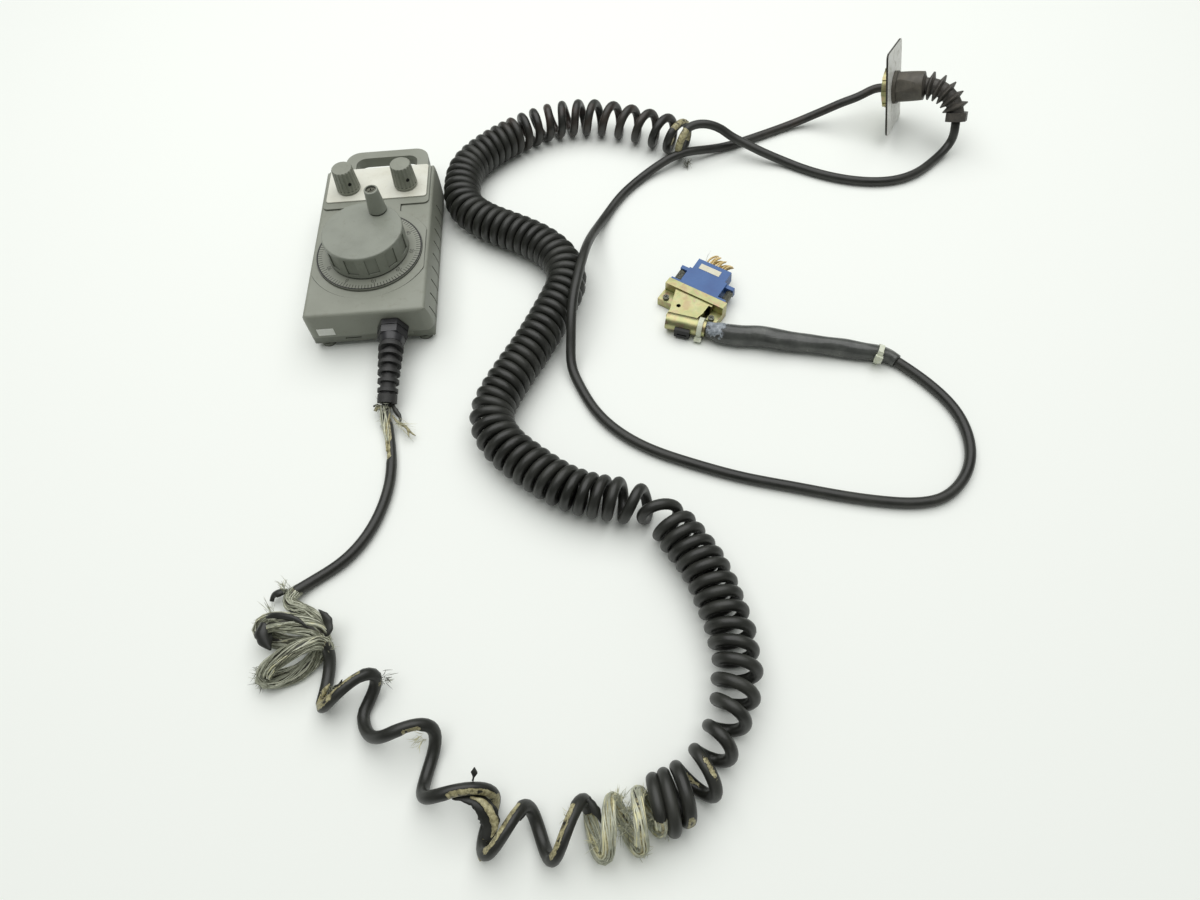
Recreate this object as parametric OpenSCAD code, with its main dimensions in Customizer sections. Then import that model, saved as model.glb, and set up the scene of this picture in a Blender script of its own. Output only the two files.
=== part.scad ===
// Hand-held manual pulse generator: a pendant case with a cranked handwheel,
// two selector knobs, a curly cord, a bulkhead gland on its plate and a plug.
// Millimetres. +X right, +Y towards the hanging loop, +Z up from the resting face.

/* [Case] */
// Length of the case without its hanging loop
case_l = 158; // [154:1:180]
// Widest width of the case
case_w = 93; // [92:1:104]
// Height of the case face above the surface it lies on
case_h = 38; // [37:0.5:44]
// Wall thickness of both shells
wall = 3; // [2.5:0.1:3.4]
// Height of the line where the two shells meet
part_z = 14; // [13:0.25:15]
// Radius of the upright corners
plan_r = 7; // [5:0.5:10]
// Radius of the edges round the face
face_edge_r = 3; // [2:0.25:4]
// Radius of the edges round the underside
base_edge_r = 5; // [3.5:0.25:6]
// Bow radius of the long side walls
side_bow_r = 98; // [90:1:200]
// Height at which the side walls are widest
widest_z = 16; // [15:0.5:20]
// How far the front and rear walls lean in at the foot
end_undercut = 2.5; // [0:0.25:3.5]
// Height of the feet
foot_h = 2.5; // [1.5:0.25:3.5]
// Diameter of each foot
foot_d = 11; // [10:0.5:13]
// Rise of the raised face panel above the case face
panel_rise = 1.2; // [0.8:0.1:2]
// Radius of the round part of the raised panel
platform_r = 46.5; // [43:0.5:48]
// Width of the raised panel under the name plate
panel_w = 84; // [80:0.5:84.5]
// Length of the raised panel under the name plate
panel_l = 46; // [42:0.5:47]
// Width of the neck that joins the two raised areas
panel_neck_w = 40; // [20:1:50]
// Number of slanted grip grooves on each side
grip_count = 9; // [4:1:10]
// Spacing of the grip grooves
grip_pitch = 13.6; // [12:0.2:14.4]
// Distance of the first groove's middle from the front wall
grip_start = 13.6; // [12:0.2:15]
// Length of each grip groove
grip_l = 22; // [16:0.5:22.5]
// Width of each grip groove
grip_w = 1; // [0.8:0.1:1.6]
// Depth of each grip groove
grip_depth = 0.7; // [0.4:0.05:0.75]
// Slant of the grip grooves
grip_slant = 19; // [10:1:26]
// Width of the gasket
gasket_w = 1.2; // [0.8:0.1:1.4]
// Thickness of the gasket
gasket_t = 1.2; // [0.8:0.1:2]
// Width of the front shell's tongue round the cord entry
tongue_w = 26; // [22:1:28]
// Height of the foot of that tongue
tongue_z = 9; // [8:0.25:10]
// Width of the prising slot in the front wall
slot_w = 12; // [8:1:14]
// Height of the prising slot
slot_h = 1.5; // [0.8:0.1:1.6]
// Depth of the prising slot
slot_in = 1.8; // [1:0.1:2]
// Distance of the prising slot's middle from the centre line
slot_x = 15; // [10:1:18]

/* [Hanging loop] */
// How far the loop reaches behind the case
loop_reach = 37.5; // [34:0.5:45]
// Width of the loop at the case
loop_w = 72; // [66:1:76]
// Distance between the centres of the loop's far corners
loop_corner_x = 46; // [40:1:50]
// Outer radius of the loop's far corners
loop_r = 12; // [10:0.5:14]
// Width of the finger slot
loop_slot_w = 52; // [44:1:56]
// Radius of the finger slot's far corners
loop_slot_r = 8; // [6:0.5:10]
// Thickness of the far bar of the loop
loop_bar = 8.5; // [7:0.5:11]
// Height of the loop's lower face
loop_z = 17; // [16.5:0.5:19]
// Thickness of the loop
loop_t = 9; // [7:0.5:10]

/* [Screws] */
// Distance of the case screws from each end of the case
screw_end = 9; // [8.5:0.25:11]
// Distance of the case screws from the centre line
screw_x = 37; // [36:0.25:37.5]
// Diameter of a screw boss
boss_d = 8.5; // [7.5:0.25:9.5]
// Thread diameter of the M3 screws
screw_d = 3; // [2.8:0.05:3.2]
// Head diameter of the case screws
screw_head_d = 5.8; // [5.2:0.1:6]
// Head height of the case screws
screw_head_h = 2.4; // [2:0.1:3]
// Depth of the screw heads inside the feet
screw_sink = 1.6; // [1:0.1:2]
// Length of the case screws under the head
screw_l = 18; // [16:0.5:20]

/* [Dial] */
// Distance of the dial centre from the front of the case
dial_from_front = 61; // [58:0.5:70]
// Diameter of the dial plate
dial_d = 80; // [76:0.5:84]
// Thickness of the dial plate
dial_t = 2; // [1.8:0.1:2.4]
// Diameter of the handwheel
wheel_d = 60; // [56:0.5:66]
// Height of the handwheel
wheel_h = 19.4; // [18:0.2:24]
// Gap between the handwheel and the dial plate
wheel_gap = 1; // [0.6:0.1:1.5]
// Thickness of the handwheel's rim
wheel_wall = 3.5; // [3:0.25:5]
// Thickness of the handwheel's top
wheel_top = 4; // [3.5:0.25:5]
// Radius of the handwheel's top edge
wheel_edge_r = 1.2; // [0.6:0.1:2]
// Diameter of the handwheel's hub
hub_d = 17; // [15:0.5:20]
// Number of recesses round the rim
recess_count = 12; // [8:1:16]
// Width of each recess
recess_w = 8.5; // [6:0.25:10]
// Depth of each recess
recess_depth = 1.2; // [0.6:0.1:1.6]
// Height of each recess
recess_h = 14; // [12:0.25:15]
// Height of each recess's foot above the rim's lower edge
recess_foot = 2.6; // [2:0.1:3]

/* [Crank] */
// Distance of the crank grip from the handwheel's centre
crank_radius = 22.5; // [21:0.5:24]
// Direction of the crank grip at rest
crank_angle = 62; // [0:1:180]
// Lower diameter of the crank grip
grip_base_d = 13.7; // [12:0.1:15]
// Upper diameter of the crank grip
grip_top_d = 10.4; // [9.6:0.1:12]
// Height of the crank grip
grip_h = 19.2; // [16:0.2:24]
// Gap between the crank grip and the handwheel
grip_gap = 0.4; // [0.3:0.1:0.8]
// Diameter of the open mouth at the top of the grip
grip_mouth_d = 7.9; // [7.6:0.1:8.4]
// Depth of the open mouth
grip_mouth_depth = 3.6; // [3:0.1:5]
// Diameter of the crank pin
pin_d = 4; // [3.5:0.1:4.5]
// Head diameter of the crank pin
pin_head_d = 7; // [6.4:0.1:7.2]
// Head height of the crank pin
pin_head_h = 2; // [1.6:0.1:2.6]

/* [Pulse generator] */
// Diameter of the shaft
shaft_d = 6; // [5:0.1:7]
// Outer diameter of the two ball bearings
bearing_d = 13; // [12:0.1:14]
// Width of the two ball bearings
bearing_w = 5; // [4:0.1:5]
// Outer diameter of the generator housing
encoder_d = 56; // [52:0.5:58]
// Height of the generator housing under the face
encoder_h = 18; // [17.5:0.25:19]
// Wall thickness of the generator housing
encoder_wall = 2.5; // [2:0.1:3]
// Diameter of the collar that reaches through the face
collar_d = 26; // [22:0.5:28]
// Radius of the ring of generator screws
encoder_screw_r = 19; // [18:0.25:20]
// Number of slots in the code disc
code_slots = 50; // [20:1:100]
// Diameter of the code disc
code_disc_d = 42; // [40:0.5:44]
// Number of detent notches for one turn
detent_count = 100; // [50:1:100]
// Diameter of the detent wheel
detent_d = 28; // [26:0.5:30]

/* [Selectors] */
// Distance of the selector knobs from the rear of the case
knob_from_back = 25; // [23:0.5:28]
// Distance between the two selector knobs
knob_spacing = 46; // [44:0.5:50]
// Lower diameter of a selector knob
knob_base_d = 18.8; // [18:0.1:20]
// Upper diameter of a selector knob
knob_top_d = 16.4; // [15:0.1:18]
// Height of a selector knob
knob_h = 18.8; // [16:0.2:22]
// Gap between a selector knob and the name plate
knob_gap = 1.2; // [0.8:0.1:1.6]
// Number of flutes round a selector knob
flute_count = 18; // [12:1:24]
// Radius of each flute
flute_r = 1.1; // [0.8:0.05:1.3]
// Diameter of a selector switch under the face
switch_d = 22; // [20:0.5:24]
// Height of a selector switch under the face
switch_h = 12; // [10:0.5:13]
// Diameter of a selector's threaded bushing
bushing_d = 9; // [8.5:0.1:9.5]
// Width across the flats of a bushing nut
nut_af = 11; // [10.8:0.1:11.4]
// Thickness of a bushing nut
nut_t = 1.8; // [1.4:0.1:2.2]
// Width of the name plate
label_w = 80; // [76:0.5:81]
// Length of the name plate
label_l = 38; // [36:0.5:42]
// Thickness of the name plate
label_t = 0.8; // [0.5:0.1:1.2]
// Distance of the name plate from the rear of the case
label_from_back = 2; // [1.8:0.1:3]

/* [Cord] */
// Diameter of the cord
cord_d = 7.2; // [6.8:0.1:7.4]
// Outer diameter of the curly stretch
curl_d = 31; // [28:0.5:31]
// Distance of the case gland from the centre line
gland_x = 17.5; // [14:0.5:19]
// Height of the case gland's axis
gland_z = 20; // [19:0.25:21]
// Width across the flats of the case gland
gland_af = 20; // [18:0.5:21]
// Diameter of the case gland's thread
gland_thread_d = 15; // [13.5:0.25:16]
// Width across the flats of the inside locknut
locknut_af = 21; // [19:0.5:22]
// Thickness of the inside locknut
locknut_t = 4.5; // [3:0.25:6]
// Bend radius of the case's bend protector
protector_r = 98; // [98:1:98]
// Bend of the case's bend protector
protector_bend = 27; // [27:1:27]
// Sideways lean of the case's bend protector
protector_lean = 13; // [13:1:13]
// Number of ribs on the case's bend protector
protector_ribs = 6; // [4:1:7]

/* [Bulkhead gland] */
// Width of the mounting plate
plate_w = 50; // [46:1:56]
// Height of the mounting plate
plate_h = 66; // [62:1:68]
// Thickness of the mounting plate
plate_t = 1.6; // [1.2:0.1:2]
// Radius of the mounting plate's corners
plate_r = 4; // [2:0.5:8]
// Hole in the mounting plate
plate_hole_d = 20; // [18:0.25:21]
// Length of the bulkhead gland's body
plate_gland_l = 24; // [24:1:24]
// Width across the flats of the bulkhead gland's body
plate_gland_af = 23; // [21:0.5:25]
// Diameter of the zinc locknut behind the plate
plate_nut_d = 30; // [28:0.5:32]
// Thickness of the zinc locknut
plate_nut_t = 6; // [4:0.5:8]
// Bend radius of the bulkhead gland's protector
plate_bend_r = 28; // [28:1:28]
// Bend of the bulkhead gland's protector
plate_bend = 92; // [92:1:92]
// Number of fins on the bulkhead gland's protector
plate_fins = 5; // [3:1:6]

/* [Plug] */
// Width of the plug's flange
plug_w = 47; // [44:1:49]
// Height of the plug's flange
plug_h = 13; // [12:0.25:14]
// Width of the plug body between its ears
plug_body_w = 32.5; // [31:0.5:34]
// Depth of the plug body behind its flange
plug_body_l = 16.5; // [14:0.5:18]
// Width of the plug's wire end
plug_tail_w = 28.5; // [26:0.5:30]
// Depth of the plug's wire end
plug_tail_l = 10.5; // [10:0.5:14]
// Width of the hood's wide band
hood_w = 50; // [50:1:54]
// Thickness of the hood's sheet metal
hood_t = 1; // [0.8:0.1:1.2]
// Depth of the hood's wide band
hood_band_l = 6.5; // [5:0.25:8]
// Depth of the hood's middle
hood_mid_l = 20; // [18:0.5:22]
// Outer diameter of the hood's cord barrel
barrel_d = 13; // [11.6:0.1:13.6]
// Length of the hood's cord barrel
barrel_l = 30; // [28:0.5:32]
// Number of wires leaving the plug
wire_count = 10; // [6:1:14]
// Diameter of each wire
wire_d = 1.4; // [1:0.1:1.6]

/* [Fits] */
// Radial running clearance of shafts and pins
run_fit = 0.05; // [0.03:0.01:0.08]
// Radial clearance of parts seated in each other
seat_fit = 0.1; // [0.05:0.01:0.2]
// Radial clearance of screws and bushings in through holes
hole_fit = 0.2; // [0.1:0.05:0.3]

/* [Hidden] */
$fn = 64;
eps = 0.01;
// Case frame: the origin lies under the middle of the case and its loop
y_front = -(case_l + loop_reach) / 2;
y_back = y_front + case_l;
y_mid = (y_front + y_back) / 2;
dial_y = y_front + dial_from_front;
knob_y = y_back - knob_from_back;
under_z = case_h - wall;
panel_z = case_h + panel_rise;
label_z = panel_z + label_t;
dial_z = case_h + dial_t;
floor_z = foot_h + wall;
part_gap = 0.2;
slot_z = tongue_z + 0.6;
bow_c = case_w / 2 - side_bow_r;
// Handwheel and crank
wheel_z = dial_z + wheel_gap;
wheel_top_z = wheel_z + wheel_h;
crank_x = crank_radius * cos(crank_angle);
crank_y = dial_y + crank_radius * sin(crank_angle);
grip_z = wheel_top_z + grip_gap;
mouth_z = grip_z + grip_h - grip_mouth_depth;
pin_head_z = mouth_z + 0.3;
pin_root = 3.4;
// Pulse generator under the face
encoder_top_t = 3;
encoder_foot_z = under_z - encoder_h;
bearing_high_z = case_h - bearing_w;
bearing_low_z = bearing_high_z - bearing_w - 2;
bearing_lip = 2.5;
neck_d = bearing_d + 5;
encoder_base_t = 2;
shaft_foot_z = encoder_foot_z + encoder_base_t + 1;
shaft_top_z = wheel_top_z - 2;
code_disc_z = bearing_low_z - 3;
code_disc_t = 0.6;
code_hub_d = 11;
code_hub_h = 1.8;
detent_z = code_disc_z - 2.6;
detent_t = 1.8;
notch_depth = 0.6;
// Screws
boss_r = boss_d / 2;
screw_r = screw_d / 2;
screw_at = [for (sx = [-1, 1], y = [y_front + screw_end, y_back - screw_end]) [sx * screw_x, y]];
// Circuit board
board_t = 1.6;
board_z = 14.4;
sticker_from_side = 8;
sticker_w = 12.5;
sticker_h = 7;
sticker_t = 0.2;
leaf_l = 9;
chip_pitch = 14;
chip_y = -18;
over = 20;
board_w = 66;
board_l = 50;
board_y = knob_y - 16;
post_d = 6;
post_at = [[-28, board_y - 20], [28, board_y - 20], [0, board_y + 20]];
board_screw_l = 7;
board_head_h = 1.8;
board_head_d = 5.2;
// Selector knobs
knob_at = [[-knob_spacing / 2, knob_y], [knob_spacing / 2, knob_y]];
knob_z = label_z + knob_gap;
bushing_top_z = label_z + nut_t + 1.6;
knob_well_d = nut_af / cos(30) + 1;
selector_shaft_top_z = knob_z + knob_h - 3.5;
setscrew_z = knob_z + 8.3;
setscrew_dir = -60;
// Case gland
locknut_y = y_front + wall;
gland_flange_t = 4.6;
gland_body_l = 9.5;
gland_nut_l = 16.5;
protector_start = gland_nut_l;
protector_core_d = 11;
cord_r = cord_d / 2;
cord_in_case = 26;
rib_first_d = 18;
rib_last_d = 14.5;
collar_l = 6;
protector_collar_d = 13.8;

// Points of an arc about c, from angle a to angle b
function arc(c, r, a, b, n) = [for (i = [0:n]) c + r * [cos(a + (b - a) * i / n), sin(a + (b - a) * i / n)]];
// Middle of a corner of radius r that touches the bowed side wall, at height z
function bow_corner(z, r, inset) =
    [bow_c + sqrt(pow(side_bow_r - inset - r, 2) - pow(z - widest_z, 2)), z];
function bow_angle(p) = atan2(p.y - widest_z, p.x - bow_c);
function flip(points) = [for (i = [len(points) - 1:-1:0]) [-points[i].x, points[i].y]];
// Cross-section of the case: rounded foot and head with bowed sides between them
function case_section(inset) =
    let (head_r = max(face_edge_r - inset, 0.8), foot_r = max(base_edge_r - inset, 0.8))
    let (head = bow_corner(case_h - inset - head_r, head_r, inset))
    let (foot = bow_corner(foot_h + inset + foot_r, foot_r, inset))
    let (right = concat(
        arc(foot, foot_r, -90, bow_angle(foot), 6),
        arc([bow_c, widest_z], side_bow_r - inset, bow_angle(foot) + 1, bow_angle(head) - 1, 8),
        arc(head, head_r, bow_angle(head), 90, 6)))
    concat(right, flip(right));
// Lengthwise section of the case: the end walls lean in towards the feet
function case_profile(inset) =
    let (head_r = max(face_edge_r - inset, 0.8), foot_r = max(base_edge_r - inset, 0.8))
    let (y0 = y_front + inset, y1 = y_back - inset, lean = end_undercut)
    let (zt = case_h - inset - head_r, zb = foot_h + inset + foot_r)
    concat(
        arc([y0 + lean + foot_r, zb], foot_r, 180, 270, 6),
        arc([y1 - lean - foot_r, zb], foot_r, 270, 360, 6),
        [[y1, widest_z]],
        arc([y1 - head_r, zt], head_r, 0, 90, 6),
        arc([y0 + head_r, zt], head_r, 90, 180, 6),
        [[y0, widest_z]]);

module at(points) { for (p = points) translate(p) children(); }

module round_rect(w, l, r) {
    square([w - 2 * r, l], center = true);
    square([w, l - 2 * r], center = true);
    for (sx = [-1, 1], sy = [-1, 1]) translate([sx * (w / 2 - r), sy * (l / 2 - r)]) circle(r);
}

// The outside of both shells, or their inside at an inset of one wall
module case_form(inset) {
    intersection() {
        translate([0, y_back + 1, 0])
            rotate([90, 0, 0]) linear_extrude(case_l + 2) polygon(case_section(inset));
        rotate([90, 0, 90])
            translate([0, 0, -case_w]) linear_extrude(2 * case_w) polygon(case_profile(inset));
        translate([0, y_mid, 0])
            linear_extrude(case_h + 1) round_rect(case_w - 2 * inset, case_l - 2 * inset, plan_r - inset);
    }
}

module case_walls() {
    difference() {
        case_form(0);
        case_form(wall);
    }
}

// Everything above the part line, and the tongue round the cord entry
module front_zone(gap) {
    translate([-case_w, y_front - 5, part_z]) cube([2 * case_w, case_l + 10, case_h]);
    translate([gland_x - tongue_w / 2 - gap, y_front - 5, tongue_z - gap])
        cube([tongue_w + 2 * gap, wall + 9, part_z - tongue_z + gap + 1]);
}

module gasket_ring(extra) {
    difference() {
        translate([0, y_mid, part_z]) linear_extrude(gasket_t + extra) difference() {
            round_rect(case_w - wall + gasket_w, case_l - wall + gasket_w, plan_r - (wall - gasket_w) / 2);
            round_rect(case_w - wall - gasket_w, case_l - wall - gasket_w, plan_r - (wall + gasket_w) / 2);
        }
        translate([gland_x - tongue_w / 2 - 1, y_front - 1, part_z - 1])
            cube([tongue_w + 2, wall + 3, gasket_t + extra + 2]);
    }
}

// Outline of the loop: tapering sides that run tangent into the far corners
function tangent_point(p, c, r) =
    let (v = c - p, d = norm(v), a = atan2(v.y, v.x) - asin(r / d))
    p + sqrt(d * d - r * r) * [cos(a), sin(a)];

module hanging_loop() {
    tip = y_back + loop_reach;
    corner = [loop_corner_x / 2, tip - loop_r];
    side = tangent_point([loop_w / 2, y_back], corner, loop_r);
    slot_tip = tip - loop_bar;
    translate([0, 0, loop_z]) linear_extrude(loop_t) difference() {
        union() {
            polygon([[-loop_w / 2, y_back - 1], [loop_w / 2, y_back - 1], side, [corner.x, tip],
                [-corner.x, tip], [-side.x, side.y]]);
            at([corner, [-corner.x, corner.y]]) circle(loop_r);
        }
        translate([-loop_slot_w / 2, y_back]) square([loop_slot_w, loop_reach - loop_bar - loop_slot_r]);
        translate([-loop_slot_w / 2 + loop_slot_r, y_back])
            square([loop_slot_w - 2 * loop_slot_r, loop_reach - loop_bar]);
        for (sx = [-1, 1]) translate([sx * (loop_slot_w / 2 - loop_slot_r), slot_tip - loop_slot_r]) circle(loop_slot_r);
    }
}

// Raised face: a round platform that fades out to the front, a neck and a pad
module face_panel() {
    fade = atan2(panel_rise, platform_r);
    root = case_h - 2;
    difference() {
        intersection() {
            translate([0, dial_y, root]) cylinder(r = platform_r, h = panel_z - root, $fn = 128);
            translate([-panel_w / 2, y_front, 0]) cube([panel_w, case_l, case_h * 2]);
        }
        translate([-case_w, dial_y, panel_z]) rotate([fade, 0, 0])
            translate([0, -2 * platform_r, 0]) cube([2 * case_w, 2 * platform_r, 5]);
    }
    translate([0, y_back - panel_l / 2 - 1, root]) linear_extrude(panel_z - root) round_rect(panel_w, panel_l, 4);
    translate([-panel_neck_w / 2, dial_y + 0.8 * platform_r, root])
        cube([panel_neck_w, y_back - dial_y - platform_r, panel_z - root]);
}

// Slanted grooves of one depth down both bowed sides, across the part line
module grip_grooves() {
    for (side = [0, 1]) mirror([side, 0, 0]) difference() {
        for (i = [0:grip_count - 1])
            translate([case_w / 2, y_front + grip_start + i * grip_pitch, widest_z + 2.5])
                rotate([grip_slant, 0, 0]) cube([5, grip_w, grip_l], center = true);
        translate([bow_c, y_front, widest_z]) rotate([-90, 0, 0])
            cylinder(r = side_bow_r - grip_depth, h = case_l, $fn = 180);
    }
}

// Places children on the front wall, which leans in below its widest height
module front_slot() {
    lean = end_undercut * (widest_z - slot_z) / (widest_z - foot_h - base_edge_r);
    translate([-slot_x - slot_w / 2, y_front - 1, slot_z]) cube([slot_w, 1 + lean + slot_in, slot_h]);
}

module front_case() {
    color([0.57, 0.58, 0.53]) difference() {
        union() {
            intersection() {
                case_walls();
                front_zone(0);
            }
            face_panel();
            hanging_loop();
            at(screw_at) translate([0, 0, part_z]) cylinder(r = boss_r, h = under_z - part_z + 1);
            at(post_at) translate([0, 0, board_z + board_t]) cylinder(d = post_d, h = under_z - board_z - board_t + 1);
        }
        gasket_ring(0);
        grip_grooves();
        translate([0, dial_y, case_h]) cylinder(d = dial_d + 4 * seat_fit, h = 5, $fn = 128);
        translate([0, dial_y, under_z - 1]) cylinder(d = collar_d + 2 * hole_fit, h = wall + 2);
        at(encoder_screw_at()) translate([0, 0, under_z - 1]) cylinder(r = screw_r + hole_fit, h = wall + 2);
        at(knob_at) translate([0, 0, under_z - 1]) cylinder(d = bushing_d + 2 * hole_fit, h = wall + 4);
        at(screw_at) translate([0, 0, part_z - 1]) cylinder(r = screw_r + run_fit, h = screw_l);
        at(post_at) translate([0, 0, board_z]) cylinder(r = screw_r - 0.5 + run_fit, h = board_screw_l);
        translate([gland_x, y_front - 1, gland_z]) rotate([-90, 0, 0])
            cylinder(d = gland_thread_d + 2 * hole_fit, h = wall + 3);
        translate([gland_x, locknut_y, gland_z]) rotate([-90, 0, 0])
            cylinder(d = locknut_af / cos(30) + 2 * hole_fit, h = locknut_t);
    }
}

module rear_cover() {
    color([0.52, 0.53, 0.48]) difference() {
        union() {
            difference() {
                case_walls();
                front_zone(part_gap);
            }
            at(screw_at) cylinder(d = foot_d, h = foot_h + 1);
            at(screw_at) translate([0, 0, foot_h]) cylinder(r = boss_r, h = part_z - foot_h);
        }
        at(screw_at) translate([0, 0, -1]) cylinder(d = screw_head_d + 2 * hole_fit, h = screw_sink + screw_head_h + 1);
        at(screw_at) cylinder(r = screw_r + hole_fit, h = part_z + 1);
        grip_grooves();
        front_slot();
    }
}

module case_gasket() { color([0.1, 0.1, 0.1]) gasket_ring(0); }

// Screw with a pan head: the head stands on the origin, the shank points up
module pan_screw(d, l, head_d, head_h) {
    difference() {
        translate([0, 0, -head_h]) cylinder(d = head_d, h = head_h);
        for (a = [0, 90]) rotate([0, 0, a])
            translate([-head_d / 3, -0.4, -head_h - 1]) cube([head_d * 2 / 3, 0.8, head_h / 2 + 1]);
    }
    translate([0, 0, -eps]) cylinder(d = d, h = l + eps);
}

module cover_screws() {
    color([0.7, 0.71, 0.72]) at(screw_at) translate([0, 0, screw_sink + screw_head_h])
        pan_screw(screw_d, screw_l, screw_head_d, screw_head_h);
}

module label_plate() {
    color([0.87, 0.87, 0.82]) difference() {
        translate([0, y_back - label_from_back - label_l / 2, panel_z])
            linear_extrude(label_t) round_rect(label_w, label_l, 2.5);
        at(knob_at) translate([0, 0, panel_z - 1]) cylinder(d = bushing_d + 2 * hole_fit, h = label_t + 2);
    }
}

module end_sticker() {
    color([0.93, 0.94, 0.92]) translate([sticker_from_side - case_w / 2, y_front - sticker_t, widest_z + 1])
        cube([sticker_w, sticker_t, sticker_h]);
}

function encoder_screw_at() =
    [for (a = [30, 150, 270]) [encoder_screw_r * cos(a), dial_y + encoder_screw_r * sin(a)]];

module dial_plate() {
    color([0.62, 0.63, 0.58]) difference() {
        translate([0, dial_y, case_h]) cylinder(d = dial_d, h = dial_t, $fn = 128);
        translate([0, dial_y, case_h - 1]) cylinder(d = bearing_d - 1, h = dial_t + 2);
        at(encoder_screw_at()) translate([0, 0, case_h - 1]) cylinder(r = screw_r + hole_fit, h = dial_t + 2);
    }
}

// Hollow turned wheel with a hub, recesses round its rim and a set screw hole
module handwheel() {
    r = wheel_d / 2;
    e = wheel_edge_r;
    hub_r = hub_d / 2;
    bore_r = shaft_d / 2 + run_fit;
    roof = wheel_h - wheel_top;
    bore_h = shaft_top_z - wheel_z + 0.3;
    hub_lift = 1.5;
    profile = concat(
        [[bore_r, hub_lift], [hub_r, hub_lift], [hub_r + 0.6, roof], [r - wheel_wall - 0.6, roof],
            [r - wheel_wall, 0], [r, 0]],
        arc([r - e, wheel_h - e], e, 0, 90, 5),
        [[0, wheel_h], [0, bore_h], [bore_r, bore_h]]);
    color([0.6, 0.61, 0.56]) translate([0, dial_y, wheel_z]) difference() {
        rotate_extrude($fn = 128) polygon(profile);
        for (i = [0:recess_count - 1]) rotate([0, 0, (i + 0.5) * 360 / recess_count])
            translate([r - recess_depth, -recess_w / 2, recess_foot]) cube([5, recess_w, recess_h]);
        translate([crank_x, crank_y - dial_y, wheel_h - wheel_top - 1])
            cylinder(d = pin_d - 1 + 2 * run_fit, h = wheel_top + 2);
        rotate([0, 0, 90 + 180 / recess_count]) translate([0, 0, setscrew_lift])
            rotate([0, 90, 0]) cylinder(r = screw_r + seat_fit, h = r + 1);
    }
}
setscrew_lift = 7;
setscrew_l = 5;

// Headless screw along +X that starts on a shaft of diameter d
module set_screw(d) {
    translate([d / 2, 0, 0]) rotate([0, 90, 0]) difference() {
        cylinder(r = screw_r, h = setscrew_l);
        translate([0, 0, setscrew_l - 1.5]) cylinder(d = 1.6, h = 2, $fn = 6);
    }
}

module wheel_setscrew() {
    color([0.3, 0.3, 0.3]) translate([0, dial_y, wheel_z + setscrew_lift])
        rotate([0, 0, 90 + 180 / recess_count]) set_screw(shaft_d + 2 * run_fit);
}

// Tapered hollow grip with a rounded rim; the pin's head sits in its open mouth
module crank_grip() {
    base_r = grip_base_d / 2;
    top_r = grip_top_d / 2;
    bore_r = pin_d / 2 + run_fit;
    mouth_r = grip_mouth_d / 2;
    profile = concat(
        [[bore_r, 0], [base_r - 0.8, 0], [base_r, 0.8], [base_r - 0.15, 2.4]],
        arc([top_r - 0.6, grip_h - 0.6], 0.6, 0, 90, 4),
        [[mouth_r, grip_h], [mouth_r, grip_h - grip_mouth_depth], [bore_r, grip_h - grip_mouth_depth]]);
    color([0.5, 0.51, 0.46]) translate([crank_x, crank_y, grip_z]) rotate_extrude() polygon(profile);
}

module crank_pin() {
    color([0.7, 0.7, 0.62]) translate([crank_x, crank_y, 0]) difference() {
        union() {
            translate([0, 0, wheel_top_z - pin_root]) cylinder(d = pin_d - 1, h = pin_root + 1);
            translate([0, 0, wheel_top_z]) cylinder(d = pin_d, h = pin_head_z - wheel_top_z + 1);
            translate([0, 0, pin_head_z]) cylinder(d = pin_head_d, h = pin_head_h);
        }
        for (a = [20, 110]) translate([0, 0, pin_head_z + pin_head_h]) rotate([0, 0, a])
            cube([pin_head_d * 0.7, 0.9, 2], center = true);
    }
}

// Cup under the face: its collar centres it and its neck holds both bearings
module encoder_housing() {
    cup_r = encoder_d / 2;
    bearing_r = bearing_d / 2 + run_fit;
    color([0.2, 0.2, 0.21]) translate([0, dial_y, 0]) difference() {
        union() {
            translate([0, 0, under_z]) cylinder(d = collar_d, h = wall);
            translate([0, 0, encoder_foot_z]) cylinder(r = cup_r, h = encoder_h);
        }
        difference() {
            translate([0, 0, encoder_foot_z - 1]) cylinder(r = cup_r - encoder_wall, h = encoder_h - encoder_top_t + 1);
            translate([0, 0, bearing_low_z]) cylinder(d = neck_d, h = encoder_h);
            at(encoder_screw_at()) translate([0, -dial_y, under_z - 7]) cylinder(d = 6.4, h = 8);
        }
        translate([0, 0, bearing_high_z]) cylinder(r = bearing_r, h = bearing_w + 1);
        translate([0, 0, bearing_low_z - 1]) cylinder(r = bearing_r, h = bearing_w + 1);
        translate([0, 0, bearing_low_z]) cylinder(r = bearing_r - bearing_lip, h = 3 * bearing_w);
        at(encoder_screw_at()) translate([0, -dial_y, under_z - 6]) cylinder(r = screw_r + run_fit, h = 8);
    }
}

module encoder_base() {
    color([0.16, 0.16, 0.17]) translate([0, dial_y, encoder_foot_z]) difference() {
        cylinder(r = encoder_d / 2 - encoder_wall - seat_fit, h = encoder_base_t);
        translate([0, -8, -1]) cube([6, 5, 10], center = true);
    }
}

module encoder_bearings() {
    color([0.75, 0.76, 0.78]) for (z = [bearing_low_z, bearing_high_z]) translate([0, dial_y, z]) difference() {
        cylinder(d = bearing_d, h = bearing_w);
        translate([0, 0, -1]) cylinder(r = shaft_d / 2 + run_fit, h = bearing_w + 2);
        for (h = [-1, bearing_w - 0.4]) translate([0, 0, h]) difference() {
            cylinder(d = bearing_d - 2.4, h = 1.4);
            translate([0, 0, -1]) cylinder(d = shaft_d + 2, h = 4);
        }
    }
}

module encoder_shaft() {
    color([0.78, 0.79, 0.8]) translate([0, dial_y, shaft_foot_z]) cylinder(d = shaft_d, h = shaft_top_z - shaft_foot_z);
}

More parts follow.
